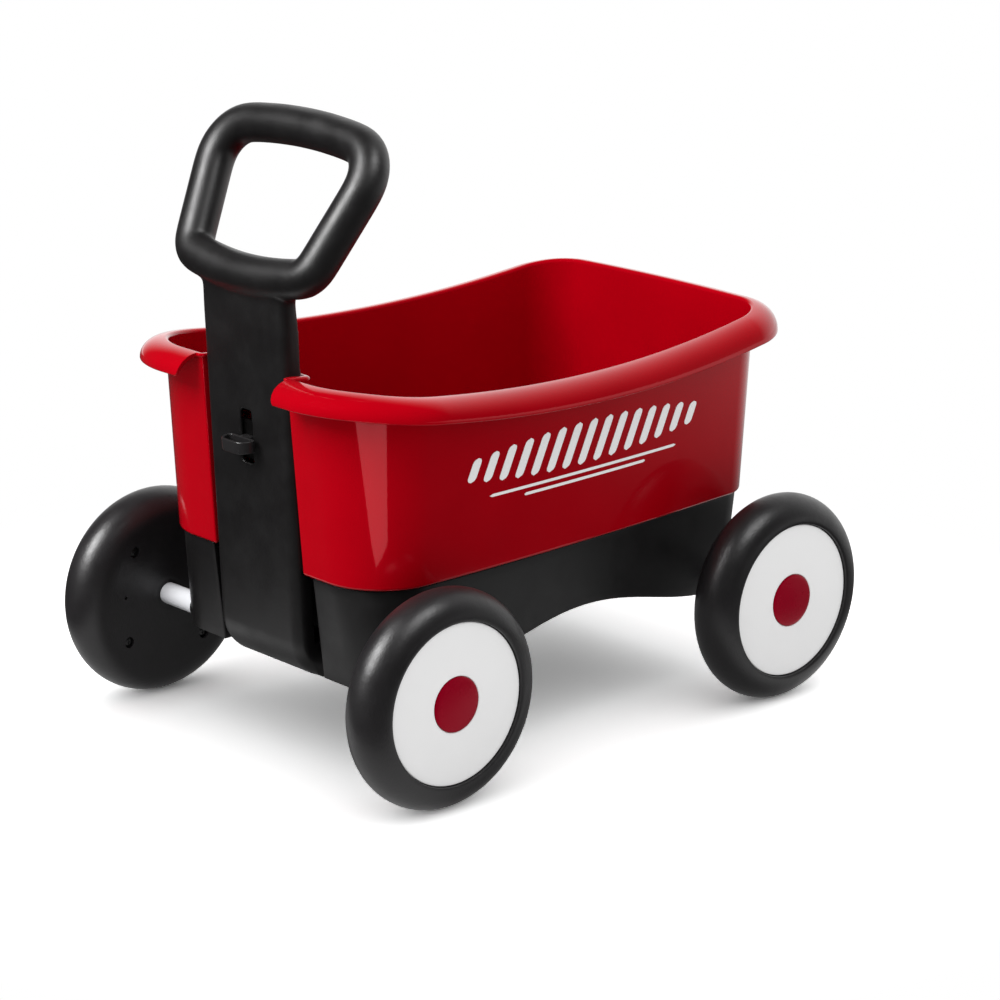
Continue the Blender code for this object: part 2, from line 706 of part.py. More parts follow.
def make_post(collection, helpers):
    """A U-section post with a curved heel, and the barrel that turns on the front axle."""
    bm = bmesh.new()
    rows = []
    for matrix, depth in post_stations():
        rows.append([bm.verts.new(matrix @ Vector((x, d, 0.0)))
                     for x, d in post_section(depth)])
    for high, low in zip(rows, rows[1:]):
        for i in range(len(high) - 1):
            bm.faces.new((high[i], low[i], low[i + 1], high[i + 1]))
    post = add_object("handle_post", mesh_from_bmesh("handle_post", bm), BLACK, collection)
    mirror = post.modifiers.new("mirror", "MIRROR")
    mirror.merge_threshold = 0.00001
    solidify = post.modifiers.new("thickness", "SOLIDIFY")
    solidify.thickness = POST_WALL
    solidify.offset = -1
    solidify.use_even_offset = True
    apply_modifiers(post)
    additions = [cylinder_between("barrel", (-POST_HALF + 0.0005, -AXLE_Y, WHEEL_R),
                                  (POST_HALF - 0.0005, -AXLE_Y, WHEEL_R), BARREL_R, 32,
                                  BLACK, helpers)]
    cuts = [cylinder_between("bore", (-0.06, -AXLE_Y, WHEEL_R), (0.06, -AXLE_Y, WHEEL_R),
                             AXLE_R + RUNNING, 24, BLACK, helpers)]
    for x, height in grip_screw_places():
        foot, tip = post_matrix(x, 0.001, height), post_matrix(x, 0.0065, height)
        additions.append(cylinder_between("boss", foot.translation, tip.translation, 0.0045,
                                          12, BLACK, helpers))
        start = post_matrix(x, 0.0015, height).translation
        end = post_matrix(x, 0.0100, height).translation
        cuts.append(cylinder_between("hole", start, end, SCREW_R + GAP, 6, BLACK, helpers))
    slot_mid = (SLOT_LOW + SLOT_HIGH) / 2
    cuts.append(block("slot", (2 * SLOT_HALF, 0.012, SLOT_HIGH - SLOT_LOW),
                      post_matrix(0.0, 0.0, slot_mid), BLACK, helpers))
    boolean(post, additions, "UNION", helpers)
    boolean(post, cuts, "DIFFERENCE", helpers)
    set_origin(post, (0.0, -AXLE_Y, WHEEL_R))
    return post


def set_origin(obj, point):
    """Moves the object's origin to a world point and leaves its mesh where it is."""
    place = Matrix.Translation(point)
    obj.data.transform(place.inverted() @ obj.matrix_world)
    obj.matrix_world = place


def grip_screw_places():
    """(x, height) of the two screws that hold the grip in the top of the post."""
    height = post_top_height() - 0.022
    return [(-GRIP_SCREW_X, height), (GRIP_SCREW_X, height)]


def grip_path():
    """Centre line of the loop, in its own plane: (x, distance up the plane)."""
    bottom, top = GRIP_BOTTOM, GRIP_TOP
    mirrored = [(-top[0], top[1]), (-bottom[0], bottom[1])]
    low = (0.0, bottom[1] - GRIP_BOW)
    high = (0.0, top[1] + GRIP_BOW)
    points = [Vector(low)]
    points += rounded(low, bottom, top, GRIP_BOTTOM_R, 4)
    points += rounded(bottom, top, high, GRIP_TOP_R, 5)
    points.append(Vector(high))
    points += rounded(high, mirrored[0], mirrored[1], GRIP_TOP_R, 5)
    points += rounded(mirrored[0], mirrored[1], low, GRIP_BOTTOM_R, 4)
    return points


def make_grip(collection, helpers):
    """The loop, a short neck flush with the post, and a plug inside the post's top."""
    curve = bpy.data.curves.new("handle_grip", "CURVE")
    curve.dimensions = "3D"
    curve.bevel_depth = GRIP_TUBE_R
    curve.bevel_resolution = 2
    points = grip_path()
    spline = curve.splines.new("POLY")
    spline.points.add(len(points) - 1)
    spline.use_cyclic_u = True
    for target, point in zip(spline.points, points):
        target.co = (point.x, GRIP_FOOT[0] + point.y * math.sin(GRIP_LEAN),
                     GRIP_FOOT[1] + point.y * math.cos(GRIP_LEAN), 1.0)
    loop = bpy.data.objects.new("loop", curve)
    collection.objects.link(loop)
    bpy.context.view_layer.update()
    evaluated = loop.evaluated_get(bpy.context.evaluated_depsgraph_get())
    mesh = bpy.data.meshes.new_from_object(evaluated)
    bpy.data.objects.remove(loop, do_unlink=True)
    grip = add_object("handle_grip", mesh, BLACK, collection)

    top = post_top_height()
    neck_low, neck_high = top + GAP, top + 0.020
    half_outline = [(x - 0.0005, -d) for x, d in post_section(POST_DEPTH)[1:]]
    outline = half_outline + [(-x, d) for x, d in reversed(half_outline)]
    neck = prism("neck", outline, neck_low, neck_high, BLACK, helpers)
    neck.matrix_world = post_matrix(0.0, 0.0002, 0.0)
    inner_half = POST_HALF - POST_WALL - 0.0060
    front, back = POST_WALL + GAP, POST_DEPTH - 0.0010
    plug = block("plug", (2 * inner_half, back - front, PLUG_LENGTH + 0.010),
                 post_matrix(0.0, (front + back) / 2, top + 0.010 - (PLUG_LENGTH + 0.010) / 2),
                 BLACK, helpers)
    boolean(grip, [neck, plug], "UNION", helpers)
    cuts = []
    for x, height in grip_screw_places():
        start = post_matrix(x, 0.0, height).translation
        middle = post_matrix(x, 0.0068, height).translation
        end = post_matrix(x, 0.020, height).translation
        cuts.append(cylinder_between("pocket", start, middle, 0.0048, 12, BLACK, helpers))
        cuts.append(cylinder_between("hole", start, end, SCREW_R + GAP, 6, BLACK, helpers))
    boolean(grip, cuts, "DIFFERENCE", helpers)
    set_origin(grip, (0.0, -AXLE_Y, WHEEL_R))


def make_grip_screws(collection):
    """Two screws through the plug into the post's bosses, heads at the back."""
    turn = Matrix.Rotation(math.radians(-90), 4, "Z")
    for number, (x, height) in enumerate(grip_screw_places(), 1):
        piece = make_screw(f"grip_screw_{number}", 0.0115, 6, collection)
        head = POST_DEPTH - 0.0010 + GAP + SCREW_HEAD
        piece.matrix_world = post_matrix(x, head, height) @ turn


# ---------------------------------------------------------------- latch

def knob_outline(inset):
    """Outline of the oval finger loop: (x, distance in front of the post)."""
    near_r, far_r = KNOB_NEAR_R - inset, KNOB_FAR_R - inset
    near_x, far_x = KNOB_HALF - KNOB_NEAR_R, KNOB_HALF - KNOB_FAR_R
    near, far = KNOB_NEAR + KNOB_NEAR_R, KNOB_FAR - KNOB_FAR_R
    outline = arc_points((near_x, near), near_r, -90, 0, 3)
    outline += arc_points((far_x, far), far_r, 0, 90, 5)
    return outline + [(-x, out) for x, out in reversed(outline)]


def prism(name, outline, low, high, spec, collection):
    """A flat outline (x, distance in front of the post) raised from low to high."""
    bm = bmesh.new()
    base = [bm.verts.new((x, -out, low)) for x, out in outline]
    face = bm.faces.new(base)
    raised = bmesh.ops.extrude_face_region(bm, geom=[face])
    moved = [v for v in raised["geom"] if isinstance(v, bmesh.types.BMVert)]
    bmesh.ops.translate(bm, vec=(0.0, 0.0, high - low), verts=moved)
    bmesh.ops.recalc_face_normals(bm, faces=bm.faces)
    return add_object(name, mesh_from_bmesh(name, bm), spec, collection)


def make_latch(collection, helpers):
    """The finger loop with its stem, the plate with its tongue, and their screw."""
    half_band = KNOB_BAND / 2
    place = post_matrix(0.0, 0.0, KNOB_MID)
    knob = prism("latch_knob", knob_outline(0.0), -half_band, half_band, BLACK, collection)
    hollow = prism("hollow", knob_outline(KNOB_WALL), -0.02, 0.02, BLACK, helpers)
    boolean(knob, [hollow], "DIFFERENCE", helpers)
    stem_front, stem_back = -KNOB_NEAR - 0.0012, POST_WALL + 0.0007
    stem = block("stem", (2 * STEM_HALF[0], stem_back - stem_front, 2 * STEM_HALF[1]),
                 Matrix.Translation((0.0, (stem_front + stem_back) / 2, 0.0)),
                 BLACK, helpers)
    boolean(knob, [stem], "UNION", helpers)
    pilot = cylinder_between("pilot", (0.0, -0.0005, 0.0), (0.0, 0.010, 0.0),
                             SCREW_R + GAP, 6, BLACK, helpers)
    boolean(knob, [pilot], "DIFFERENCE", helpers)
    knob.matrix_world = place

    plate_front = POST_WALL + 0.0007 + GAP
    half_x, half_z, thick = PLATE
    plate = block("latch_plate", (2 * half_x, thick, 2 * half_z),
                  Matrix.Translation((0.0, plate_front + thick / 2, 0.0)), BLACK, collection)
    set_origin(plate, (0.0, 0.0, 0.0))
    tongue = block("tongue", (2 * half_x - 0.006, 0.0050, 0.0060),
                   Matrix.Translation((0.0, plate_front + thick + 0.0015, -half_z + 0.0035)),
                   BLACK, helpers)
    boolean(plate, [tongue], "UNION", helpers)
    hole = cylinder_between("hole", (0.0, 0.0, 0.0), (0.0, 0.02, 0.0), SCREW_R + GAP, 6,
                            BLACK, helpers)
    boolean(plate, [hole], "DIFFERENCE", helpers)
    plate.matrix_world = place

    screw = make_screw("latch_screw", 0.0075, 6, collection)
    head = plate_front + thick + GAP + SCREW_HEAD
    turn = Matrix.Rotation(math.radians(-90), 4, "Z")
    screw.matrix_world = place @ Matrix.Translation((0.0, head, 0.0)) @ turn


def make_tub_screws(collection):
    """Four countersunk screws down through the tub's floor and the chassis deck."""
    names = ("tub_screw_front_left", "tub_screw_rear_left",
             "tub_screw_front_right", "tub_screw_rear_right")
    profile = [(0.0, 0.0125), (SCREW_R, 0.0125), (SCREW_R, SINK_DEPTH), (SCREW_HEAD_R, GAP),
               (0.0, GAP)]
    for name, (x, y) in zip(names, tub_screw_places()):
        piece = turned(name, profile, 12, STEEL, collection, closed=False)
        piece.matrix_world = tub_screw_matrix(x, y)


def main():
    clear_scene()
    wagon = make_collection("pull_wagon")
    helpers = make_collection("cutters")
    make_tub(wagon, helpers)
    make_chassis(wagon, helpers)
    make_tub_screws(wagon)
    make_axles(wagon)
    make_sleeves(wagon)
    make_wheels(wagon, helpers)
    make_post(wagon, helpers)
    make_grip(wagon, helpers)
    make_grip_screws(wagon)
    make_latch(wagon, helpers)


main()
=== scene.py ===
"""The looks of a child's pull wagon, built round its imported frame. Metres, +Z up.

The handle end faces -Y. Every place comes from the frame's boxes and joints; the numbers
below are the sizes of details on the pieces, and the light and the camera.
"""

import json
import math

import bmesh
import bpy
from mathutils import Matrix, Vector
from mathutils.bvhtree import BVHTree

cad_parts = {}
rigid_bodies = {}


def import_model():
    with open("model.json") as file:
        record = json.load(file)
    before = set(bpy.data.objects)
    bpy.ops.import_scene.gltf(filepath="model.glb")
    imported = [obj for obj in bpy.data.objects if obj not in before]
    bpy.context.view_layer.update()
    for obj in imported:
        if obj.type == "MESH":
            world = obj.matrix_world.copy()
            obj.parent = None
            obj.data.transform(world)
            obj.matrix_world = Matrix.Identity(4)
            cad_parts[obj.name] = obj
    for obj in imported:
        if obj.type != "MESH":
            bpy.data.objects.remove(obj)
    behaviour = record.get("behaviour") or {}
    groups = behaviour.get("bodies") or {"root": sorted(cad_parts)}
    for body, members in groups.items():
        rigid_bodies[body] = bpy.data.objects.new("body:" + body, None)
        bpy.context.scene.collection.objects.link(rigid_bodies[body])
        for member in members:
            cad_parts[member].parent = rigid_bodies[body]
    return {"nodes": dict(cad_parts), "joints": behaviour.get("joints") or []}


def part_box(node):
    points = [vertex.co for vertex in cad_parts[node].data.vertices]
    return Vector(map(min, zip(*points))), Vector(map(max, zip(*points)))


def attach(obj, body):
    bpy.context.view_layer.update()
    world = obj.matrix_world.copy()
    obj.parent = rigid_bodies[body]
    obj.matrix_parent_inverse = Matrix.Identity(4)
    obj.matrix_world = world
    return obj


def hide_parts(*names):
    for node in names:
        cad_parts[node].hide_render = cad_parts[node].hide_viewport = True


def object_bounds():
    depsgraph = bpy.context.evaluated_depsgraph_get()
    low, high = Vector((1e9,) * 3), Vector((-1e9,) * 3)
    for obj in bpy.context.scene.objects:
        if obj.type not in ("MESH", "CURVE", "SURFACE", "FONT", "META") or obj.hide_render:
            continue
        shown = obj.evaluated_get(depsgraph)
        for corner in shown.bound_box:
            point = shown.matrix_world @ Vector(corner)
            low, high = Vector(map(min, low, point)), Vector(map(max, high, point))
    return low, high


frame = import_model()
cad_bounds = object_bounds()

# Boxes that place everything
TUB_LO, TUB_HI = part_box("tub")
CHASSIS_LO, CHASSIS_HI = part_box("chassis")
POST_LO, POST_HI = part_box("handle_post")
GRIP_LO, GRIP_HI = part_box("handle_grip")
KNOB_LO, KNOB_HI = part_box("latch_knob")
JOINTS = {joint["name"]: joint for joint in frame["joints"]}
PIVOT = Vector(JOINTS["handle_fold"]["pos_m"])
SIDES = (("left", -1), ("right", 1))

# Tub
TUB_WALL = 0.0027
CROWN_R = 0.003
LIP_REACH = 0.0192      # from the crown to the lip's outermost point
LIP_OUT = 0.0195        # from the wall's outside to the lip's outermost point
LIP_DROP = 0.0168
LIP_DEEPEN = 0.55       # share of the drop that a metre towards the rear adds
LIP_END_R = 0.0045      # rounded lower corners of the lip beside the post
LIP_START = 0.0035      # from the channel's side to where the lip starts to turn down
LIP_LEAST = 4.0         # degrees the lip still turns beside the post
LIP_FIRST = 1.5         # degrees at which the lip's underside leaves the wall
LIP_FILLET = 0.0012
TUB_EDGE = 0.0026
FLOOR_FILLET = 0.007
SINK_R = 0.0022         # countersunk holes in the floor
SINK_TOP_R = 0.0041
SINK_DEPTH = 0.0018
RIM_DIP = 0.01730       # how far the rim dips between the wagon's ends
RIM_LOW_Y = 0.0080
RIM_CURVE = {"front": 0.370, "rear": 0.425}
# Where the rim starts to level out, from its lowest place, and over which length
RIM_BEND = {"front": (0.1995, 0.033), "rear": (0.190, 0.030)}
TUB_FLOOR = {"front": TUB_LO.y + 0.0297, "rear": TUB_HI.y - 0.0320,
             "half_front": TUB_HI.x - 0.0265, "half_rear": TUB_HI.x - 0.0427,
             "r_front": 0.0490, "r_rear": 0.0290,
             "channel_half": 0.0522, "channel_back": TUB_LO.y + 0.0495, "bow": 0.050,
             "rear_bow": 0.005}
TUB_RIM = {"front": TUB_LO.y + LIP_OUT, "rear": TUB_HI.y - LIP_OUT - 0.006,
           "half_front": TUB_HI.x - 0.0213, "half_rear": TUB_HI.x - 0.0349,
           "r_front": 0.0607, "r_rear": 0.0340,
           "channel_half": 0.0500, "channel_back": TUB_LO.y + 0.0400, "bow": 0.052,
           "rear_bow": 0.006}

# Chassis
CHASSIS_WALL = 0.003
CHASSIS_LOW = CHASSIS_LO.z + 0.0003
BOSS_WALL = 0.0025      # round the sleeve's end
GUSSET = (0.013, 0.0022)
GUSSET_AWAY = 0.0085    # from the axle
RIB_X = 0.061
RIB_LENGTH = 0.052
CHASSIS_ARCH = 0.0264   # rise of the low edge between the wheels
ARCH_Y = 0.012
ARCH_HALF = 0.165
CHASSIS_TOP = {"front": CHASSIS_LO.y, "rear": CHASSIS_HI.y - 0.0050,
               "half_front": CHASSIS_HI.x - 0.0007, "half_rear": CHASSIS_HI.x - 0.0171,
               "r_front": 0.0470, "r_rear": 0.0260,
               "channel_half": 0.0594, "channel_back": CHASSIS_LO.y + 0.0509, "bow": 0.050,
               "rear_bow": 0.005}
CHASSIS_FOOT = {**CHASSIS_TOP, "front": CHASSIS_LO.y + 0.0091, "rear": CHASSIS_HI.y - 0.0120,
                "half_front": CHASSIS_HI.x - 0.0017, "half_rear": CHASSIS_HI.x - 0.0222,
                "r_front": 0.0380, "r_rear": 0.0240}

# Handle
POST_HALF = POST_HI.x + 0.0006      # smoothing takes this much away again
POST_DEPTH = 0.0160
POST_EDGE_R = 0.0090
POST_WALL = 0.0028
POST_LEAN = math.radians(2.45)
POST_ZERO = 0.0660      # height above the pivot that places up the post count from
POST_SET_BACK = 0.00854     # of the post's front there, behind the foremost point of its box
HEEL_R = 0.035
HEEL_DEPTH = 0.0240
GRIP_TUBE_R = 0.0147
GRIP_LEAN = math.radians(30.5)
GRIP_FOOT = (0.01506, 0.11268)      # the loop plane's origin: behind the front, under the top
GRIP_BOTTOM = (GRIP_HI.x - 0.0317, 0.0053)
GRIP_TOP = (GRIP_HI.x - 0.0070, 0.1084)
GRIP_BOTTOM_R = 0.018
GRIP_TOP_R = 0.028
GRIP_BOW = 0.006
HANDLE_VOXEL = 0.0014
JUNCTION = 0.020        # how far the fillet between the post and the loop reaches
SLOT_HALF = 0.0066
SLOT = (0.081, 0.121)   # its ends, measured up the post

# Latch
KNOB_WALL = 0.0022
KNOB_NEAR_R = 0.0040    # the oval's corners: beside the post's front, and in front of it
KNOB_FAR_R = 0.0095
KNOB_NEAR_OUT = 0.0068
KNOB_FAR_OUT = 0.0070
KNOB_HALF_BAND = 0.0046
KNOB_EDGE = 0.0008
KNOB_RAISED = 0.0004
KNOB_STEM = (0.0110, 0.0075, 0.0088)
PLATE_WALL = 0.0030
PLATE_GAP = 0.0010      # behind the post's front wall
TONGUE = (0.0046, 0.0058)

# Light
KEY = 99.0
KEY_FROM = (-0.35, -1.75, 1.80)
KEY_SIZE = 1.6
FILL = 0.88
ROOM_MIRRORED = 0.03
SWEEP_MIRRORED = 1.3
SWEEP_TOWARDS = (-0.35, 0.93, 0.05)
SWEEP_EDGE = (0.35, 0.90)
BACKDROP_MIRRORED = 1.0
BACKDROP_EDGE = (0.30, 1.30)
FLOOR_GREY = 0.80
FLOOR_GAIN = 2.6        # how much brighter the camera sees the floor than the fill light makes it
FLOOR_WHITE = (0.36, 0.62)      # distances over which it turns pure white
# The floor's painted reflection by distance from the middle: painted shade under the wagon, a
# bright ring round it, then dark
FLOOR_PAINTED_REFLECTION = ((0.0, 0.24), (0.24, 0.24), (0.30, 0.88), (0.35, 0.88), (0.45, 0.04))
HIGHLIGHT_AWAY = 2.2
HIGHLIGHT_SIZE = 1.0
HIGHLIGHTS = (("box_front", (-0.16, -0.77, 0.62), 80.0), ("box_top", (0.56, 0.06, 0.80), 27.0))
CARD_CENTRE = (0.246, -0.335, 0.150)
CARD_SIZE = (0.18, 0.12)
CARD_OUTLINE = ((-0.5, 0.5), (0.41, 0.5), (0.38, -0.36), (-0.02, -0.5), (-0.15, -0.34))
CARD_MIRRORED = 2.9

# Camera: its target from the wagon's centre, and its own place from that target
CAMERA_LENS = 115.63
CAMERA_TARGET = (0.0419, 0.0, -0.0750)
CAMERA_FROM = (1.7620, -1.5977, 0.7114)

# Printed pattern on the tub's sides: middle as (y, height above the tub's floor)
PRINT_CENTRE = (0.005, 0.080)
PRINT_BARS = 15
PRINT_PITCH = 0.0165
PRINT_HEIGHT = 0.034
PRINT_TAPER = 0.48      # of the height, from the middle bar to the last one
PRINT_BAR = 0.0082
PRINT_SLANT = 0.42
PRINT_STRIPES = (0.200, 0.130)      # their lengths, from the upper one
PRINT_STRIPE = 0.0022
PRINT_GAP = 0.0056
PRINT_LIFTS = (-0.0003, 0.00025)    # its back and its face, from the tub's surface

# Wheels; places along the axle are measured from the wheel's centre plane, outwards
WHEELS = [(f"{end}_{side}_wheel", sign) for end in ("front", "rear") for side, sign in SIDES]
WHEEL_STEPS = 128
BORE_R = 0.0043
TYRE_TUBE_R = 0.020
TYRE_BACK = ((0.0560, -0.01955), (0.0500, -0.0189), (0.0420, -0.0184), (0.0330, -0.0181),
             (0.0230, -0.0178), (0.0150, -0.0174), (0.0122, -0.0173), (0.0113, -0.0170),
             (0.0100, -0.0170))     # the dished back as (radius, place)
DISC_CROWN = 0.00009
CAP_DOME = 0.0012
RECESS_FROM, RECESS_TO = -0.0230, -0.0128
RECESS_R = 0.0048
RECESS_END_R = 0.0038
VENT_AWAY = 0.042       # from the axle
VENT_R = 0.0013

# Small parts; an edge is rounded over points of (less radius, distance from the end)
SLEEVE_EDGE = ((0.0005, 0.0), (0.0001, 0.0004), (0.0, 0.0010))
AXLE_EDGE = ((0.0008, 0.0), (0.0, 0.0010))
SCREW_R = 0.0019
SCREW_HEAD_R = 0.0034
THREAD_TURNS = 7
SCREW_PITCH_R = 0.0514
SCREW_PHASE = math.radians(51.5)
SCREW_SUNK = 0.0022     # how deep the heads of the wheels' screws lie in their recesses

# Materials: the sockets of a colour mix by number
MIX_SHARE, MIX_FIRST, MIX_SECOND, MIX_RESULT = 0, 6, 7, 2


# ---- mesh helpers

def helper(name, data):
    """A linked object; a mesh stays a building aid until it's put on a body."""
    data.name = name
    obj = bpy.data.objects.new(name, data)
    bpy.context.scene.collection.objects.link(obj)
    return obj


def dress(piece, body, material, *replaced):
    """Puts a piece on a body in a material, instead of the nodes that it replaces."""
    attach(piece, body)
    piece.data.materials.clear()
    piece.data.materials.append(MATERIALS[material])
    if replaced:
        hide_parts(*replaced)


def shown(name, mesh, body, material, *replaced):
    """A visible piece. Its mesh is already in the frame's place."""
    dress(helper(name, mesh), body, material, *replaced)


def smooth(mesh, angle=40):
    mesh.shade_smooth()
    mesh.set_sharp_from_angle(angle=math.radians(angle))
    return mesh


def mesh_of(bm, angle=40):
    bmesh.ops.recalc_face_normals(bm, faces=bm.faces)
    mesh = bpy.data.meshes.new("mesh")
    bm.to_mesh(mesh)
    bm.free()
    return smooth(mesh, angle)


def add_loft(bm, rows, closed=False):
    """Joins rows of points by quads. A row of one point is a tip; open ends get flat caps."""
    grid = [[bm.verts.new(point) for point in row] for row in rows]
    count = max(len(row) for row in grid)
    if closed:
        grid.append(grid[0])
    for low, high in zip(grid, grid[1:]):
        for i in range(count):
            j = (i + 1) % count
            corners = [low[i % len(low)], low[j % len(low)],
                       high[j % len(high)], high[i % len(high)]]
            bm.faces.new(list(dict.fromkeys(corners)))
    if not closed:
        for end in (grid[0][::-1], grid[-1]):
            if len(end) > 1:
                bm.faces.new(end)


def lofted(rows, closed=False, angle=40):
    bm = bmesh.new()
    add_loft(bm, rows, closed)
    return mesh_of(bm, angle)


def turned(profile, steps, angle=40):
    """A solid of revolution about X. The profile is (radius, x); ends at radius 0 close it."""
    angles = [2 * math.pi * i / steps for i in range(steps)]
    rows = [[(x, radius * math.cos(a), radius * math.sin(a))
             for a in (angles if radius else (0.0,))] for radius, x in profile]
    return lofted(rows, profile[0][0] > 0 and profile[-1][0] > 0, angle)


def applied(obj):
    """Gives the object the mesh that its modifiers make."""
    bpy.context.view_layer.update()
    evaluated = obj.evaluated_get(bpy.context.evaluated_depsgraph_get())
    mesh = bpy.data.meshes.new_from_object(evaluated)
    obj.modifiers.clear()
    obj.data = mesh


def cut(obj, cutters):
    """Takes the cutters out of an object; they go."""
    for cutter in cutters:
        modifier = obj.modifiers.new("cut", "BOOLEAN")
        modifier.object = cutter
        modifier.operation = "DIFFERENCE"
        modifier.solver = "EXACT"
    applied(obj)
    for cutter in cutters:
        bpy.data.objects.remove(cutter, do_unlink=True)


def taken(obj):
    """The mesh of a building aid, which goes."""
    mesh = obj.data
    bpy.data.objects.remove(obj, do_unlink=True)
    return mesh


def cylinder(start, end, radius, segments, end_radius=None):
    """A round cutter or core from one point to another, tapered to end_radius."""
    start, end = Vector(start), Vector(end)
    span = end - start
    place = Matrix.Translation((start + end) / 2)
    bm = bmesh.new()
    bmesh.ops.create_cone(bm, cap_ends=True, segments=segments, radius1=radius,
                          radius2=end_radius or radius, depth=span.length,
                          matrix=place @ span.to_track_quat("Z", "Y").to_matrix().to_4x4())
    return helper("cylinder", mesh_of(bm))


def box_mesh(size, place, bevel=0.0, segments=3):
    bm = bmesh.new()
    bmesh.ops.create_cube(bm, size=1.0)
    bmesh.ops.scale(bm, vec=size, verts=bm.verts)
    if bevel:
        bmesh.ops.bevel(bm, geom=list(bm.edges), offset=bevel, segments=segments,
                        affect="EDGES", profile=0.5)
    bmesh.ops.transform(bm, matrix=place, verts=bm.verts)
    return mesh_of(bm)


def box_middle(node_name):
    low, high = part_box(node_name)
    return (low + high) / 2


def facing_out(place, sign):
    """Puts a mesh at a place on the wagon's side of that sign, its +X pointing outwards."""
    return Matrix.Translation(place) @ Matrix.Rotation(0.0 if sign > 0 else math.pi, 4, "Z")


def arc(centre, radius, start, end, count):
    """Points on an arc, angles in degrees, both ends included."""
    points = []
    for i in range(count + 1):
        a = math.radians(start + (end - start) * i / count)
        points.append((centre[0] + radius * math.cos(a), centre[1] + radius * math.sin(a)))
    return points


def rounded(before, corner, after, radius, count):
    """The arc that rounds a corner between two straight lines."""
    corner = Vector(corner)
    back = (Vector(before) - corner).normalized()
    ahead = (Vector(after) - corner).normalized()
    half = back.angle(ahead) / 2
    start = corner + back * (radius / math.tan(half))
    centre = corner + (back + ahead).normalized() * (radius / math.sin(half))
    spoke = start - centre
    turn = (math.pi - 2 * half) * (1 if back.cross(ahead) < 0 else -1)
    return [centre + Matrix.Rotation(turn * i / count, 2) @ spoke for i in range(count + 1)]


def between(start, end, count):
    start, end = Vector(start), Vector(end)
    return [start.lerp(end, i / count) for i in range(1, count)]


# ---- plan outlines

def outline(plan):
    """A closed outline from above: its right half from the channel to the rear, then its left."""
    half_front, half_rear = plan["half_front"], plan["half_rear"]
    front, rear, inner = plan["front"], plan["rear"], plan["channel_half"]
    corners = [(0.0, plan["channel_back"]), (inner, plan["channel_back"]),
               (inner, front), (half_front, front), (half_rear, rear), (0.0, rear)]
    points = [Vector(corners[0])]
    channel = rounded(*corners[0:3], 0.004, 6)
    points += between(corners[0], channel[0], 6) + channel
    front_edge = rounded(*corners[1:4], 0.0014, 4)
    points += between(channel[-1], front_edge[0], 3) + front_edge
    start = Vector((inner + LIP_START, front))
    points.append(start)
    for share in (0.02, 0.08, 0.18, 0.32, 0.50, 0.72, 1.0):
        points.append(start + Vector((LIP_END_R * share, 0.0)))
    points += between(points[-1], (half_front - plan["r_front"], front), 4)
    points += rounded(*corners[2:5], plan["r_front"], 24)
    rear_arc = rounded(*corners[3:6], plan["r_rear"], 18)
    points += between(points[-1], rear_arc[0], 30) + rear_arc
    points += between(rear_arc[-1], corners[5], 8)
    points.append(Vector(corners[5]))
    bowed = []
    for point in points:
        along = (point.y - front) / (rear - front)
        swell = 1 + plan["bow"] * 4 * along * (1 - along)
        across = min(point.x / half_rear, 1.0)
        back = plan["rear_bow"] * (1 - across ** 2) * max(along, 0.0) ** 4
        bowed.append(Vector((point.x * swell, point.y + back)))
    return bowed + [Vector((-p.x, p.y)) for p in reversed(bowed[1:-1])]


def normals(points):
    """Outward direction at each point of a closed outline."""
    result = []
    for before, point, after in zip(points[-1:] + points, points, points[1:] + points[:1]):
        tangent = (after - point).normalized() + (point - before).normalized()
        result.append(Vector((tangent.y, -tangent.x)).normalized())
    return result


def shell_rows(start_plan, end_plan, section_at):
    """Rows of a loft between two outlines. A section gives (plan share, offset, z)."""
    starts, ends = outline(start_plan), outline(end_plan)
    columns = []
    for s, e, sn, en in zip(starts, ends, normals(starts), normals(ends)):
        columns.append([(*(s.lerp(e, share) + sn.lerp(en, share) * off), z)
                        for share, off, z in section_at(e)])
    return zip(*columns)


# ---- tub

def rim_height(y):
    """The rim dips between the ends and levels out near each of them."""
    low = TUB_HI.z - RIM_DIP
    away = abs(y - RIM_LOW_Y)
    end = "rear" if y > RIM_LOW_Y else "front"
    start, length = RIM_BEND[end]
    curve = RIM_CURVE[end]
    if away <= start:
        return low + curve * away ** 2
    past = min(away - start, length)
    slope = 2 * curve * start
    return low + curve * start ** 2 + slope * past * (1 - past / (2 * length))


def lip_angle(point):
    """How far round the lip runs at a point of the rim: nearly nothing beside the post."""
    start = TUB_RIM["channel_half"] + LIP_START + 0.0001
    along = (abs(point.x) - start) / LIP_END_R
    if point.y > 0 or along >= 1:
        return 90.0
    if along <= 0:
        return LIP_LEAST
    return max(LIP_LEAST, 90.0 * math.sqrt(1 - (1 - along) ** 2))


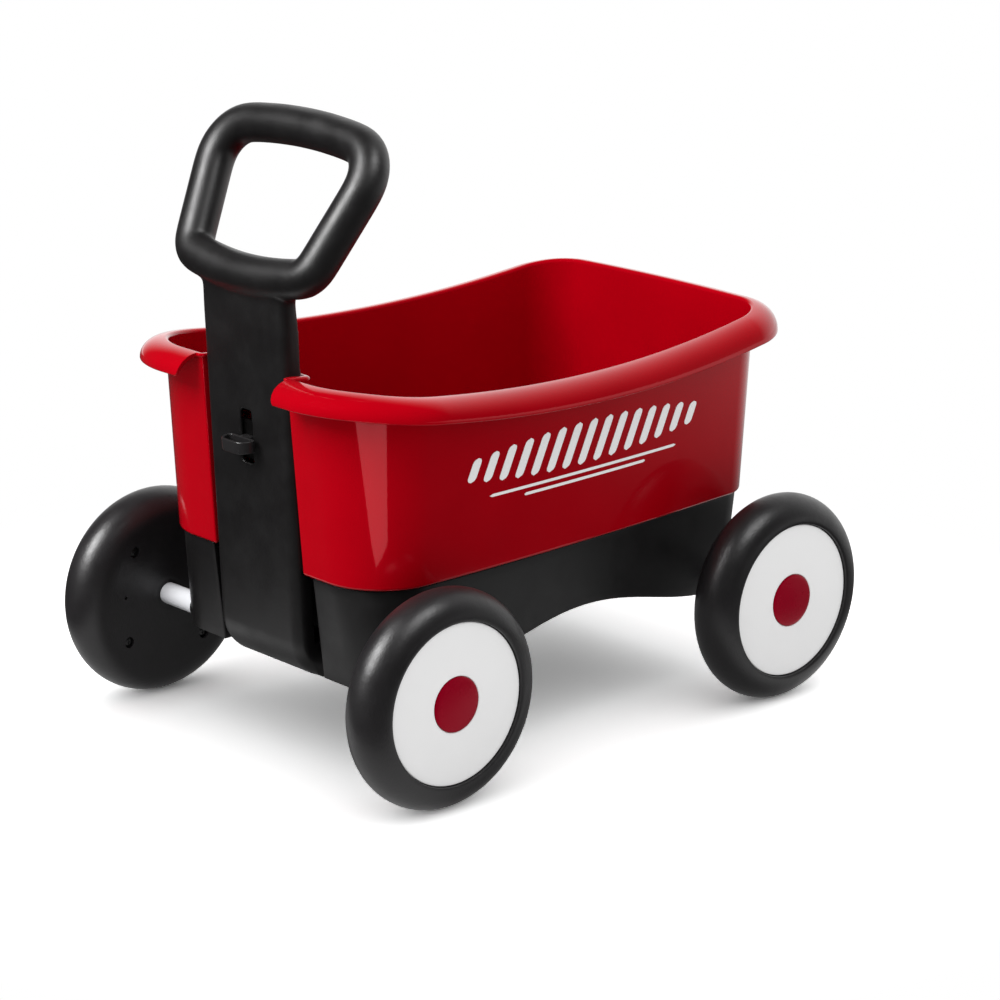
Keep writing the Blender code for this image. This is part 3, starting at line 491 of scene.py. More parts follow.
def tub_section(rim_point):
    """Closed section of the wall, from the floor's top over the rim to the floor's bottom."""
    rim_z, floor_z = rim_height(rim_point.y), TUB_LO.z
    drop = LIP_DROP * (1 + LIP_DEEPEN * rim_point.y)
    limit = lip_angle(rim_point)
    inside, base = -TUB_WALL, rim_z - CROWN_R
    low = floor_z + TUB_WALL + FLOOR_FILLET
    inner = arc((inside - FLOOR_FILLET, low), FLOOR_FILLET, -90, 0, 7)
    inner += [(inside, low + (base - low) * i / 12) for i in range(1, 12)]

    def lip(angle, depth):
        a = math.radians(angle)
        off = inside + CROWN_R + LIP_REACH * math.sin(a)
        z = rim_z - drop * (1 - math.cos(a))
        back = Vector((-drop * math.sin(a), -LIP_REACH * math.cos(a))).normalized()
        return off + back.x * depth, z + back.y * depth

    rolled = arc((inside + CROWN_R, base), CROWN_R, 180, 96, 6)
    rolled += [lip(limit * i / 14, 0.0) for i in range(15)]
    top, under = Vector(lip(limit, 0.0)), Vector(lip(limit, TUB_WALL))
    middle, spoke = (top + under) / 2, (top - under) / 2
    ahead = Vector((math.cos(math.radians(limit)), -math.sin(math.radians(limit))))
    along = Vector((-spoke.y, spoke.x))
    if along.dot(ahead) < 0:
        along = -along
    rolled += [middle + spoke * math.cos(a) + along * math.sin(a) * 0.8
               for a in (math.pi * i / 6 for i in range(1, 6))]
    rolled += [lip(limit + (LIP_FIRST - limit) * i / 12, TUB_WALL) for i in range(13)]
    corner_off, corner_z = rolled[-1]
    for off, z in arc((0.0, corner_z - LIP_FILLET), LIP_FILLET, 100, 180, 3):
        rolled.append(((off / LIP_FILLET + 1) * corner_off, z))

    high, foot = corner_z - LIP_FILLET * 1.3, floor_z + TUB_EDGE
    outer = [(0.0, high + (foot - high) * i / 11) for i in range(12)]
    outer += arc((-TUB_EDGE, foot), TUB_EDGE, 0, -90, 6)[1:]

    def spread(points):
        return [(min(1.0, (z - floor_z) / (base - floor_z)), off, z) for off, z in points]

    return spread(inner) + [(1.0, off, z) for off, z in rolled] + spread(outer)


def make_tub():
    """The tub's shell, with countersunk holes for its screws."""
    rows = shell_rows(TUB_FLOOR, TUB_RIM, tub_section)
    tub = helper("tub_shell", lofted(rows, angle=50))
    sinks = []
    for name in frame["nodes"]:
        if "tub_screw" in name:
            middle = box_middle(name)
            x, y, top = middle.x, middle.y, TUB_LO.z + TUB_WALL
            sinks.append(cylinder((x, y, top - SINK_DEPTH), (x, y, top + 0.0004),
                                  SINK_R, 32, SINK_TOP_R))
            sinks.append(cylinder((x, y, top - 2 * TUB_WALL), (x, y, top - 0.0012),
                                  SINK_R, 32))
    cut(tub, sinks)
    smooth(tub.data, 50)
    level = tub.modifiers.new("level", "WEIGHTED_NORMAL")   # keeps the floor's shading flat
    level.keep_sharp = True
    level.weight = 100
    applied(tub)
    dress(tub, "chassis", "red", "tub")
    return tub


# ---- chassis

def chassis_section(foot_point):
    """Section of the skirt: (share from deck to foot, offset, z), deck top to underside."""
    away = min(abs(foot_point.y - ARCH_Y) / ARCH_HALF, 1.0)
    low_z = CHASSIS_LOW + CHASSIS_ARCH * math.cos(math.pi / 2 * away) ** 2
    deck_z, wall, half, edge = CHASSIS_HI.z, CHASSIS_WALL, CHASSIS_WALL / 2, 0.0016
    top, bottom, under = deck_z - edge, low_z + half, deck_z - 2 * CHASSIS_WALL
    section = arc((-edge, top), edge, 90, 0, 5)
    section += [(0.0, top + (bottom - top) * i / 10) for i in range(1, 10)]
    section += arc((-half, bottom), half, 0, -180, 8)
    section += [(-wall, bottom + (under - bottom) * i / 10) for i in range(1, 10)]
    section += arc((-2 * wall, under), wall, 0, 90, 4)
    return [((deck_z - z) / (deck_z - low_z), off, z) for off, z in section]


def make_chassis():
    """The chassis' shell, its bosses and two ribs by the rear axle."""
    rows = shell_rows(CHASSIS_TOP, CHASSIS_FOOT, chassis_section)
    shown("chassis_shell", lofted(rows), "chassis", "black", "chassis")
    for wheel, sign in WHEELS:
        make_boss(wheel.removesuffix("_wheel"), sign)
    height = CHASSIS_HI.z - CHASSIS_WALL / 2 - CHASSIS_LOW
    y = box_middle("rear_axle").y - 0.006
    for side, sign in SIDES:
        name = f"rear_rib_{side}"
        place = Matrix.Translation((sign * RIB_X, y, CHASSIS_LOW + height / 2))
        rib = box_mesh((CHASSIS_WALL, RIB_LENGTH, height), place, 0.0009)
        shown(name, rib, "chassis", "black")


def make_boss(corner, sign):
    """The boss that an axle comes out of, and its two gussets under the deck."""
    low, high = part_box(f"{corner}_wheel_sleeve")
    centre = (low + high) / 2
    inner = low.x if sign > 0 else high.x
    radius = (high.z - low.z) / 2 + BOSS_WALL
    profile = [(0.0046, -0.012), (radius - 0.001, -0.012), (radius, -0.011),
               (radius, 0.0050), (radius - 0.001, 0.0060), (0.0089, 0.0060),
               (0.0087, 0.0002), (0.0046, 0.0002)]
    boss = turned(profile, 48)
    boss.transform(facing_out((inner, centre.y, centre.z), sign))
    shown(f"axle_boss_{corner}", boss, "chassis", "black")
    height = CHASSIS_HI.z - CHASSIS_WALL - centre.z
    for number, away in enumerate((-GUSSET_AWAY, GUSSET_AWAY), 1):
        name = f"boss_gusset_{corner}_{number}"
        place = Matrix.Translation((inner - sign * 0.005, centre.y + away,
                                    centre.z + height / 2))
        shown(name, box_mesh((*GUSSET, height), place, 0.0006, 2), "chassis", "black")


# ---- handle

def post_matrix(depth, height):
    """Places a piece by the post: depth is behind its front face, height along it."""
    front = Matrix.Translation((0.0, POST_LO.y + POST_SET_BACK, PIVOT.z + POST_ZERO))
    return front @ Matrix.Rotation(POST_LEAN, 4, "X") @ Matrix.Translation((0.0, depth, height))


def up_post(z):
    """How far up the post a height is."""
    return (z - PIVOT.z - POST_ZERO) / math.cos(POST_LEAN)


def u_section(depth):
    """Closed outline of the post's U section: (x, depth), right half then left half."""
    flat = POST_HALF - POST_EDGE_R
    inner_r = POST_EDGE_R - POST_WALL
    half_wall = POST_WALL / 2
    outer = [(0.0, 0.0), (flat * 0.35, 0.0), (flat * 0.7, 0.0)]
    outer += arc((flat, POST_EDGE_R), POST_EDGE_R, -90, 0, 10)
    outer += [(POST_HALF, POST_EDGE_R + (depth - POST_EDGE_R) * 0.5)]
    outer += arc((POST_HALF - half_wall, depth - half_wall), half_wall, 0, 180, 6)
    inner = [(POST_HALF - POST_WALL, POST_EDGE_R + (depth - POST_EDGE_R) * 0.4)]
    inner += arc((flat, POST_EDGE_R), inner_r, 0, -90, 8)
    inner += [(flat * 0.7, POST_WALL), (flat * 0.35, POST_WALL), (0.0, POST_WALL)]
    right = outer + inner
    return right + [(-x, d) for x, d in reversed(right[1:-1])]


def make_post_mesh():
    """The U-section post with its curved heel, as one closed loft, with the latch's slot."""
    top = up_post(POST_HI.z + 0.010)
    heel = up_post(POST_LO.z + HEEL_R * (1 - math.sin(POST_LEAN)))
    stations = [(post_matrix(0.0, top + (heel - top) * i / 16), POST_DEPTH)
                for i in range(17)]
    pivot = post_matrix(HEEL_R, heel)
    sweep = math.radians(90) + POST_LEAN
    for i in range(1, 25):
        share = i / 24
        turn = Matrix.Rotation(sweep * share, 4, "X")
        matrix = pivot @ turn @ Matrix.Translation((0.0, -HEEL_R, 0.0))
        depth = POST_DEPTH + (HEEL_DEPTH - POST_DEPTH) * share * share * (3 - 2 * share)
        stations.append((matrix, depth))
    rows = [[matrix @ Vector((x, d, 0.0)) for x, d in u_section(depth)]
            for matrix, depth in stations]
    post = helper("post", lofted(rows))
    middle = (SLOT[0] + SLOT[1]) / 2
    slot = helper("slot", box_mesh((2 * SLOT_HALF, 0.012, SLOT[1] - SLOT[0]),
                                   post_matrix(0.0, middle)))
    cut(post, [slot])
    return post


def grip_path():
    """Centre line of the loop, in its own plane: (x, distance up the plane)."""
    (low_x, low_y), (high_x, high_y) = GRIP_BOTTOM, GRIP_TOP
    low, high = (0.0, low_y - GRIP_BOW), (0.0, high_y + GRIP_BOW)
    corners = [low, (low_x, low_y), (high_x, high_y), high, (-high_x, high_y), (-low_x, low_y),
               low]
    radii = (GRIP_BOTTOM_R, GRIP_TOP_R, GRIP_TOP_R, GRIP_BOTTOM_R)
    arcs = [rounded(*corners[i:i + 3], r, 14) for i, r in zip((0, 1, 3, 4), radii)]
    path = arcs[0] + between(arcs[0][-1], arcs[1][0], 14)
    path += arcs[1] + bar(arcs[1][-1], arcs[2][0], high[1])
    path += arcs[2] + between(arcs[2][-1], arcs[3][0], 14)
    path += arcs[3] + bar(arcs[3][-1], arcs[0][0], low[1])
    return soften(path, 6)


def bar(start, end, middle):
    """A bar of the loop, bowed to a given distance at its middle; its ends left out."""
    points = between(start, end, 20)
    for i, point in enumerate(points, 1):
        point.y = start.y + (middle - start.y) * 4 * (i / 20) * (1 - i / 20)
    return points


def soften(path, rounds):
    """Evens out the curvature of a closed path."""
    for _ in range(rounds):
        path = [(path[i - 1] + path[i] * 2 + path[(i + 1) % len(path)]) / 4
                for i in range(len(path))]
    return path


def make_loop():
    """The loop's round tube."""
    foot_y = GRIP_LO.y + GRIP_FOOT[0]
    foot_z = GRIP_HI.z - GRIP_FOOT[1]
    path = [Vector((p.x, foot_y + p.y * math.sin(GRIP_LEAN), foot_z + p.y * math.cos(GRIP_LEAN)))
            for p in grip_path()]
    out_of_plane = Vector((0.0, math.cos(GRIP_LEAN), -math.sin(GRIP_LEAN)))
    angles = [2 * math.pi * k / 32 for k in range(32)]
    rows = []
    for i in range(len(path)):
        tangent = (path[(i + 1) % len(path)] - path[i - 1]).normalized()
        side = tangent.cross(out_of_plane).normalized()
        rows.append([path[i] + (side * math.cos(a) + out_of_plane * math.sin(a)) * GRIP_TUBE_R
                     for a in angles])
    return helper("loop", lofted(rows, closed=True))


def make_neck():
    """The solid between the post's top and the loop, on the post's outline."""
    top = up_post(POST_HI.z)
    flat = POST_HALF - POST_EDGE_R
    half = arc((flat, POST_EDGE_R), POST_EDGE_R, -90, 0, 10)
    half += arc((POST_HALF - 0.003, POST_DEPTH - 0.003), 0.003, 0, 90, 4)
    around = half + [(-x, d) for x, d in reversed(half)]
    rows = [[post_matrix(0.0, top + h) @ Vector((x, d, 0.0)) for x, d in around]
            for h in (-0.012, -0.004, 0.004, 0.012, 0.020)]
    return helper("neck", lofted(rows))


def make_handle():
    """Post, neck and loop grown into one smooth moulding."""
    half, barrel_r = POST_HALF - 0.0008, PIVOT.z - POST_LO.z - 0.0003
    barrel = cylinder((-half, PIVOT.y, PIVOT.z), (half, PIVOT.y, PIVOT.z), barrel_r, 64)
    top = up_post(POST_HI.z)
    plug_half = POST_HALF - POST_WALL - 0.0060
    plug = helper("plug", box_mesh((2 * plug_half, POST_DEPTH - 0.004, 0.055),
                                   post_matrix(POST_DEPTH / 2 + 0.0010, top - 0.0175),
                                   0.0012))
    bm = bmesh.new()
    for source in (make_post_mesh(), make_loop(), make_neck(), barrel, plug):
        bm.from_mesh(taken(source))
    mesh = bpy.data.meshes.new("handle_body")
    bm.to_mesh(mesh)
    bm.free()
    handle = helper("handle_body", mesh)
    remesh = handle.modifiers.new("grow", "REMESH")
    remesh.mode = "VOXEL"
    remesh.voxel_size = HANDLE_VOXEL
    applied(handle)
    group = handle.vertex_groups.new(name="junction")
    seam = post_matrix(POST_DEPTH / 2, top + 0.008).translation
    for vertex in handle.data.vertices:
        weight = max(0.0, 1.0 - abs(vertex.co.z - seam.z) / JUNCTION)
        if abs(vertex.co.x) < POST_HALF + JUNCTION and weight > 0:
            group.add([vertex.index], weight * weight * (3 - 2 * weight), "REPLACE")
    for name, rounds, where in (("even", 3, ""), ("fillet", 30, "junction")):
        modifier = handle.modifiers.new(name, "SMOOTH")
        modifier.factor = 0.5
        modifier.iterations = rounds
        modifier.vertex_group = where
    applied(handle)
    handle.data.shade_smooth()
    dress(handle, "handle", "black", "handle_post", "handle_grip")


# ---- latch

def knob_outline(inset):
    """Outline of the oval finger loop: (x, distance in front of the post)."""
    near_x, far_x = KNOB_HI.x - KNOB_NEAR_R, KNOB_HI.x - KNOB_FAR_R
    right = arc((near_x, KNOB_NEAR_OUT), KNOB_NEAR_R - inset, -90, 0, 10)
    right += arc((far_x, KNOB_FAR_OUT), KNOB_FAR_R - inset, 0, 90, 20)
    return right + [(-x, out) for x, out in reversed(right)]


def make_knob():
    """The oval finger loop with rounded edges, and the stem that runs into the slot."""
    middle = (KNOB_LO.z + KNOB_HI.z) / 2
    place = post_matrix(0.0, up_post(middle) + KNOB_RAISED)
    outside = arc((KNOB_EDGE, KNOB_EDGE - KNOB_HALF_BAND), KNOB_EDGE, -90, -180, 6)
    outside += [(inset, -z) for inset, z in reversed(outside)]
    inside = [(KNOB_WALL - inset, z) for inset, z in reversed(outside)]
    rows = [[place @ Vector((x, -out, z)) for x, out in knob_outline(inset)]
            for inset, z in outside + inside]
    loop = lofted(rows, closed=True, angle=50)
    shown("latch_loop", loop, "latch", "black_fine", "latch_knob")
    stem_place = place @ Matrix.Translation((0.0, -0.0003, 0.0))
    stem = box_mesh(KNOB_STEM, stem_place, 0.0008)
    shown("latch_stem", stem, "latch", "black_fine")


def make_latch_plate():
    """The sliding plate behind the post, and its tongue, with rounded edges, in a black darker than
    the frame's: painted shade seen through the slot.
    """
    lo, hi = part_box("latch_plate")
    height = up_post((lo.z + hi.z) / 2)
    front = POST_WALL + PLATE_GAP
    plate = box_mesh((hi.x - lo.x, PLATE_WALL, (hi.z - lo.z) * 0.985),
                     post_matrix(front + PLATE_WALL / 2, height), 0.0008)
    shown("latch_plate_fine", plate, "latch", "black_dull_painted_shade", "latch_plate")
    tongue_place = post_matrix(front + PLATE_WALL + 0.0012, height - 0.0115)
    tongue = box_mesh((hi.x - lo.x - 0.006, *TONGUE), tongue_place, 0.0007)
    shown("latch_tongue", tongue, "latch", "black_dull_painted_shade")


# ---- wheels

def tyre_profile(wheel_r, face, disc_r):
    """Section of the black wheel about its axis; face is the x of the disc's outer face."""
    centre = (wheel_r - TYRE_TUBE_R, 0.0)
    seat_x = face - 0.0030
    seat_r = disc_r + 0.0005
    start = math.degrees(math.acos((seat_r - centre[0]) / TYRE_TUBE_R))
    lip = arc(centre, TYRE_TUBE_R, start, -90, 44)
    profile = [(BORE_R, seat_x - 0.002), (seat_r - 0.001, seat_x - 0.002), (seat_r, seat_x),
               (seat_r, lip[0][1] - 0.0012), (seat_r + 0.0003, lip[0][1] - 0.0004)]
    return profile + lip[1:] + list(TYRE_BACK) + [(BORE_R, TYRE_BACK[-1][1])]


def screw_places():
    """The wheel's screws as (y, z) from its axis."""
    angles = [SCREW_PHASE + math.pi / 2 * i for i in range(4)]
    return [(SCREW_PITCH_R * math.cos(a), SCREW_PITCH_R * math.sin(a)) for a in angles]


def make_tyre_mesh(profile):
    """The black wheel, with screw recesses and a vent hole in its back."""
    body = helper("tyre_source", turned(profile, WHEEL_STEPS, 50))
    cutters = [cylinder((RECESS_FROM, y, z), (RECESS_TO, y, z), RECESS_R, 24,
                        RECESS_END_R) for y, z in screw_places()]
    vent = SCREW_PHASE - math.radians(45)
    y, z = VENT_AWAY * math.cos(vent), VENT_AWAY * math.sin(vent)
    cutters.append(cylinder((RECESS_FROM, y, z), (-0.0150, y, z), VENT_R, 14))
    cut(body, cutters)
    return smooth(taken(body), 45)


def disc_profile(face, radius, cap_r):
    """Section of the white disc; face is the x of its outer face."""
    profile = [(cap_r - 0.004, face - 0.0026), (cap_r - 0.004, face - 0.0018),
               (cap_r + 0.0002, face - 0.0018), (cap_r + 0.0002, face - 0.0009)]
    profile += arc((cap_r + 0.0008, face - 0.0007), 0.0006, 180, 90, 4)
    for i in range(1, 12):
        r = cap_r + 0.0010 + (radius - 0.0016 - cap_r - 0.0010) * i / 12
        profile.append((r, face - 0.0001 + DISC_CROWN * math.sin(math.pi * i / 12)))
    profile += arc((radius - 0.0010, face - 0.0010), 0.0009, 90, 0, 6)
    return profile + [(radius - 0.0001, face - 0.0026)]


def cap_profile(rim, radius):
    """Section of the domed hub cap; rim is the x of its top."""
    profile = [(0.0, rim)]
    for i in range(1, 10):
        r = (radius - 0.0012) * i / 9
        profile.append((r, rim - CAP_DOME * (r / radius) ** 2))
    profile += arc((radius - 0.0010, rim - CAP_DOME - 0.0009), 0.0009, 80, 0, 6)
    return profile + [(radius - 0.0002, rim - 0.0032), (0.0, rim - 0.0032)]


def make_wheels():
    """Four equal wheels, measured on one of them."""
    lo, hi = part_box("front_right_wheel_tyre")
    disc_lo, disc_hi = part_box("front_right_wheel_disc")
    cap_lo, cap_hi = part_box("front_right_wheel_cap")
    wheel_x = lo.x + TYRE_TUBE_R
    disc_r, cap_r = (disc_hi.y - disc_lo.y) / 2, (cap_hi.y - cap_lo.y) / 2
    face = disc_hi.x - wheel_x
    tyre = make_tyre_mesh(tyre_profile((hi.y - lo.y) / 2, face, disc_r))
    disc = turned(disc_profile(face, disc_r, cap_r), 96, 50)
    cap = turned(cap_profile(cap_hi.x - wheel_x, cap_r), 64, 50)
    for wheel, sign in WHEELS:
        place = facing_out(JOINTS[f"{wheel}_spin"]["pos_m"], sign)
        for label, source, material in (("tyre", tyre, "tyre"), ("disc", disc, "white"),
                                        ("cap", cap, "cap")):
            mesh = source.copy()
            mesh.transform(place)
            shown(f"{wheel}_{label}_fine", mesh, wheel, material, f"{wheel}_{label}")


# ---- small parts

def make_rod(cad_node, name, bore_r, edge, steps, material):
    """A rod or tube along X instead of a node. Its edge is (less radius, x from the end)."""
    lo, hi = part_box(cad_node)
    radius, length = (hi.z - lo.z) / 2, hi.x - lo.x
    start = [(bore_r, 0.0)] + [(radius - less, x) for less, x in edge]
    end = [(r, length - x) for r, x in reversed(start)]
    mesh = turned(start + end, steps)
    middle = box_middle(cad_node)
    mesh.transform(Matrix.Translation((lo.x, middle.y, middle.z)))
    shown(name, mesh, "chassis", material, cad_node)


def make_rods():
    """Spacer sleeves and axles."""
    for wheel, _ in WHEELS:
        make_rod(f"{wheel}_sleeve", f"{wheel}_sleeve_fine", BORE_R, SLEEVE_EDGE, 48, "sleeve")
    for axle in ("front_axle", "rear_axle"):
        make_rod(axle, f"{axle}_rod", 0.0, AXLE_EDGE, 40, "steel")


def screw_mesh(length, sunk):
    """A screw along +X with a cross recess, its head's face at 0; pan or countersunk head."""
    radius, head_r, head = SCREW_R, SCREW_HEAD_R, 0.0018 if sunk else 0.0015
    if sunk:
        profile = [(0.0, 0.0), (head_r - 0.0001, 0.0), (head_r, 0.0001), (head_r, 0.0003),
                   (radius, head)]
    else:
        profile = [(0.0, 0.0), (head_r * 0.55, 0.00006), (head_r * 0.85, 0.0003),
                   (head_r * 0.98, 0.0007), (head_r, 0.0010), (head_r, head), (radius, head)]
    pitch = (length - head - 0.002) / THREAD_TURNS
    for i in range(THREAD_TURNS):
        start = head + 0.0004 + pitch * i
        profile += [(radius * 0.8, start), (radius, start + pitch * 0.45),
                    (radius, start + pitch * 0.55)]
    profile += [(radius * 0.8, length - 0.0016), (radius * 0.3, length), (0.0, length)]
    screw = helper("screw_source", turned(profile, 24, 50))
    blades = [helper("blade", box_mesh((0.0020, head_r * 1.15, 0.0009),
                                       Matrix.Rotation(turn, 4, "X")))
              for turn in (0.0, math.pi / 2)]
    cut(screw, blades)
    return smooth(taken(screw), 35)


def screw_kind(cad_node, centre):
    """Length, driving direction, body and material of a screw."""
    if "tub_screw" in cad_node:
        return 0.0122, Vector((0.0, 0.0, -1.0)), "chassis", "zinc"
    if "wheel_screw" in cad_node:
        outward = Vector((1.0 if centre.x > 0 else -1.0, 0.0, 0.0))
        return 0.0095, outward, cad_node.rsplit("_screw", 1)[0], "dark_steel"
    forward = post_matrix(0.0, 0.0).to_3x3() @ Vector((0.0, -1.0, 0.0))
    if "grip" in cad_node:
        return 0.0115, forward, "handle", "zinc"
    return 0.0075, forward, "latch", "zinc"


def make_screws():
    """Every screw of the frame, with its head towards the side it is driven from."""
    for name in frame["nodes"]:
        if "screw" not in name:
            continue
        centre = box_middle(name)
        length, direction, body, material = screw_kind(name, centre)
        mesh = screw_mesh(length, "tub_screw" in name)
        turn = direction.to_track_quat("X", "Z").to_matrix().to_4x4()
        start = centre - direction * (length / 2)
        if "wheel_screw" in name:
            start += direction * SCREW_SUNK
        mesh.transform(Matrix.Translation(start) @ turn)
        shown(f"{name}_fine", mesh, body, material, name)


# ---- side decoration

def side_point(tree, sign, along, up, lift):
    """The point of the tub's side at a given y and height above its floor, lifted off it."""
    start = Vector((sign * 0.3, along, TUB_LO.z + up))
    point, normal, _, _ = tree.ray_cast(start, Vector((-sign, 0.0, 0.0)))
    return point + normal * lift


def lozenge(centre, length, height, count=10):
    """A slanted bar with round ends, as pairs of (along, up) points across it."""
    tall = height > length
    r = min(length, height) / 2
    reach = max(length, height) / 2
    pairs = []
    for i in range(2 * count + 1):
        run = (i / count - 1) * reach
        past = max(0.0, abs(run) - (reach - r))
        half = math.sqrt(max(r * r - past * past, 0.0))
        pair = [(-half, run), (half, run)] if tall else [(run, -half), (run, half)]
        pairs.append([(centre[0] + a + u * PRINT_SLANT, centre[1] + u) for a, u in pair])
    return pairs


def print_shapes():
    """Plain slanted bars that swell towards the middle, over two thin stripes."""
    shapes = []
    middle = (PRINT_BARS - 1) / 2
    for i in range(PRINT_BARS):
        along = PRINT_CENTRE[0] + (i - middle) * PRINT_PITCH
        height = PRINT_HEIGHT * (1 - PRINT_TAPER * ((i - middle) / middle) ** 2)
        shapes.append(lozenge((along, PRINT_CENTRE[1]), PRINT_BAR, height))
    below = PRINT_CENTRE[1] - PRINT_HEIGHT / 2
    for number, length in enumerate(PRINT_STRIPES, 1):
        shapes.append(lozenge((PRINT_CENTRE[0], below - PRINT_GAP * number), length,
                              PRINT_STRIPE, 36))
    return shapes


def make_decoration(tub):
    """A plain printed pattern on each side of the tub, as thin closed shapes."""
    source = bmesh.new()
    source.from_mesh(tub.data)
    tree = BVHTree.FromBMesh(source)
    source.free()
    back, face = PRINT_LIFTS
    for side, sign in SIDES:
        bm = bmesh.new()
        for pairs in print_shapes():
            add_loft(bm, [[side_point(tree, sign, *start, back), side_point(tree, sign, *end, back),
                           side_point(tree, sign, *end, face), side_point(tree, sign, *start, face)]
                          for start, end in pairs])
        bmesh.ops.remove_doubles(bm, verts=bm.verts, dist=0.00001)
        shown(f"side_print_{side}", mesh_of(bm, 30), "chassis", "print")


# ---- materials

def feed(tree, target, feeds):
    """Sets a node's inputs: a socket is linked, anything else is a plain value."""
    for name, value in feeds.items():
        if isinstance(value, bpy.types.NodeSocket):
            tree.links.new(value, target.inputs[name])
        else:
            target.inputs[name].default_value = value


def node(tree, kind, feeds, output=0, **settings):
    """Adds a shader node and returns one of its outputs. Settings are its properties."""
    made = tree.nodes.new("ShaderNode" + kind)
    for name, value in settings.items():
        setattr(made, name, value)
    feed(tree, made, feeds)
    return made.outputs[output]


def rgba(value):
    """An opaque colour, from a grey value or from red, green and blue."""
    return (*value, 1.0) if isinstance(value, tuple) else (value, value, value, 1.0)


def ramp(tree, source, stops, interpolation="LINEAR"):
    """The colour of a value among stops of (position, grey value or colour)."""
    made = tree.nodes.new("ShaderNodeValToRGB")
    made.color_ramp.interpolation = interpolation
    elements = made.color_ramp.elements
    while len(elements) < len(stops):
        elements.new(0.5)
    for element, (position, value) in zip(elements, stops):
        element.position = position
        element.color = rgba(value)
    tree.links.new(source, made.inputs["Fac"])
    return made.outputs["Color"]


def noise(tree, place, scale, detail, roughness=0.5):
    return node(tree, "TexNoise", {"Vector": place, "Scale": scale, "Detail": detail,
                                   "Roughness": roughness}, "Fac")


def smooth_step(tree, value, edge, low=0.0, high=1.0):
    """Runs smoothly from low to high while a value runs over the edge."""
    return node(tree, "MapRange", {"Value": value, "From Min": edge[0], "From Max": edge[1],
                                   "To Min": low, "To Max": high},
                "Result", interpolation_type="SMOOTHSTEP")


def combined(tree, operation, first, second):
    return node(tree, "Math", {0: first, 1: second}, operation=operation)


def mixed(tree, share, first, second):
    return node(tree, "MixShader", {0: share, 1: first, 2: second})


def shade(colour, factor, lift=0.0):
    return tuple(min(1.0, c * factor + lift) for c in colour)


def new_material(name):
    """A material, its node tree and its Principled BSDF."""
    material = bpy.data.materials.new(name)
    material.use_nodes = True
    tree = material.node_tree
    return material, tree, tree.nodes["Principled BSDF"]


def worn_edges(tree, place, wear):
    """How worn the plastic is: only on convex edges, and there in patches."""
    pointiness = node(tree, "NewGeometry", {}, "Pointiness")
    edges = ramp(tree, pointiness, [(0.53, 0.0), (0.60, 1.0)])
    patches = ramp(tree, noise(tree, place, 90.0, 3.0), [(0.45, 0.0), (0.70, 1.0)])
    return combined(tree, "MULTIPLY", combined(tree, "MULTIPLY", edges, patches), wear)


def plastic(name, colour, rough, grain, depth, mottle, scuff, wear, coat=0.0, peel=0.0,
            tint=(1.0, 1.0, 1.0)):
    """Moulded plastic: mottled colour, fine grain, faint scuffs and edges worn paler."""
    material, tree, shader = new_material(name)
    material.diffuse_color = rgba(colour)
    place = node(tree, "TexCoord", {}, "Object")
    tones = ramp(tree, noise(tree, place, 14.0, 4.0, 0.55),
                 [(0.35, shade(colour, 1 - mottle)), (0.65, shade(colour, 1 + mottle))])
    base = node(tree, "Mix", {MIX_SHARE: worn_edges(tree, place, wear), MIX_FIRST: tones,
                              MIX_SECOND: rgba(shade(colour, 1.6, 0.06))},
                MIX_RESULT, data_type="RGBA")
    scuffs = ramp(tree, noise(tree, place, 38.0, 6.0, 0.65),
                  [(0.30, rough * (1 - scuff)), (0.75, rough * (1 + scuff))])
    bump = node(tree, "Bump", {"Height": noise(tree, place, 1.0 / grain, 2.0),
                               "Distance": depth})
    if peel:
        bump = node(tree, "Bump", {"Height": noise(tree, place, 220.0, 1.0), "Distance": peel,
                                   "Normal": bump})
    feed(tree, shader, {"Base Color": base, "Roughness": scuffs, "Normal": bump, "IOR": 1.49,
                        "Specular Tint": rgba(tint), "Coat Weight": coat,
                        "Coat Roughness": 0.04})
    return material


def metal(name, colour, rough, stretch=(1.0, 1.0, 1.0)):
    """Drawn or plated metal with fine streaks and dull spots."""
    material, tree, shader = new_material(name)
    place = node(tree, "TexCoord", {}, "Object")
    streaks = noise(tree, node(tree, "Mapping", {"Vector": place, "Scale": stretch}),
                    700.0, 4.0, 0.6)
    tones = ramp(tree, streaks, [(0.3, shade(colour, 0.82)), (0.7, colour)])
    dull = ramp(tree, noise(tree, place, 60.0, 3.0), [(0.35, rough * 0.8), (0.7, rough * 1.3)])
    bump = node(tree, "Bump", {"Height": streaks, "Distance": 0.00003, "Strength": 0.5})
    feed(tree, shader, {"Base Color": tones, "Roughness": dull, "Normal": bump,
                        "Metallic": 1.0})
    return material


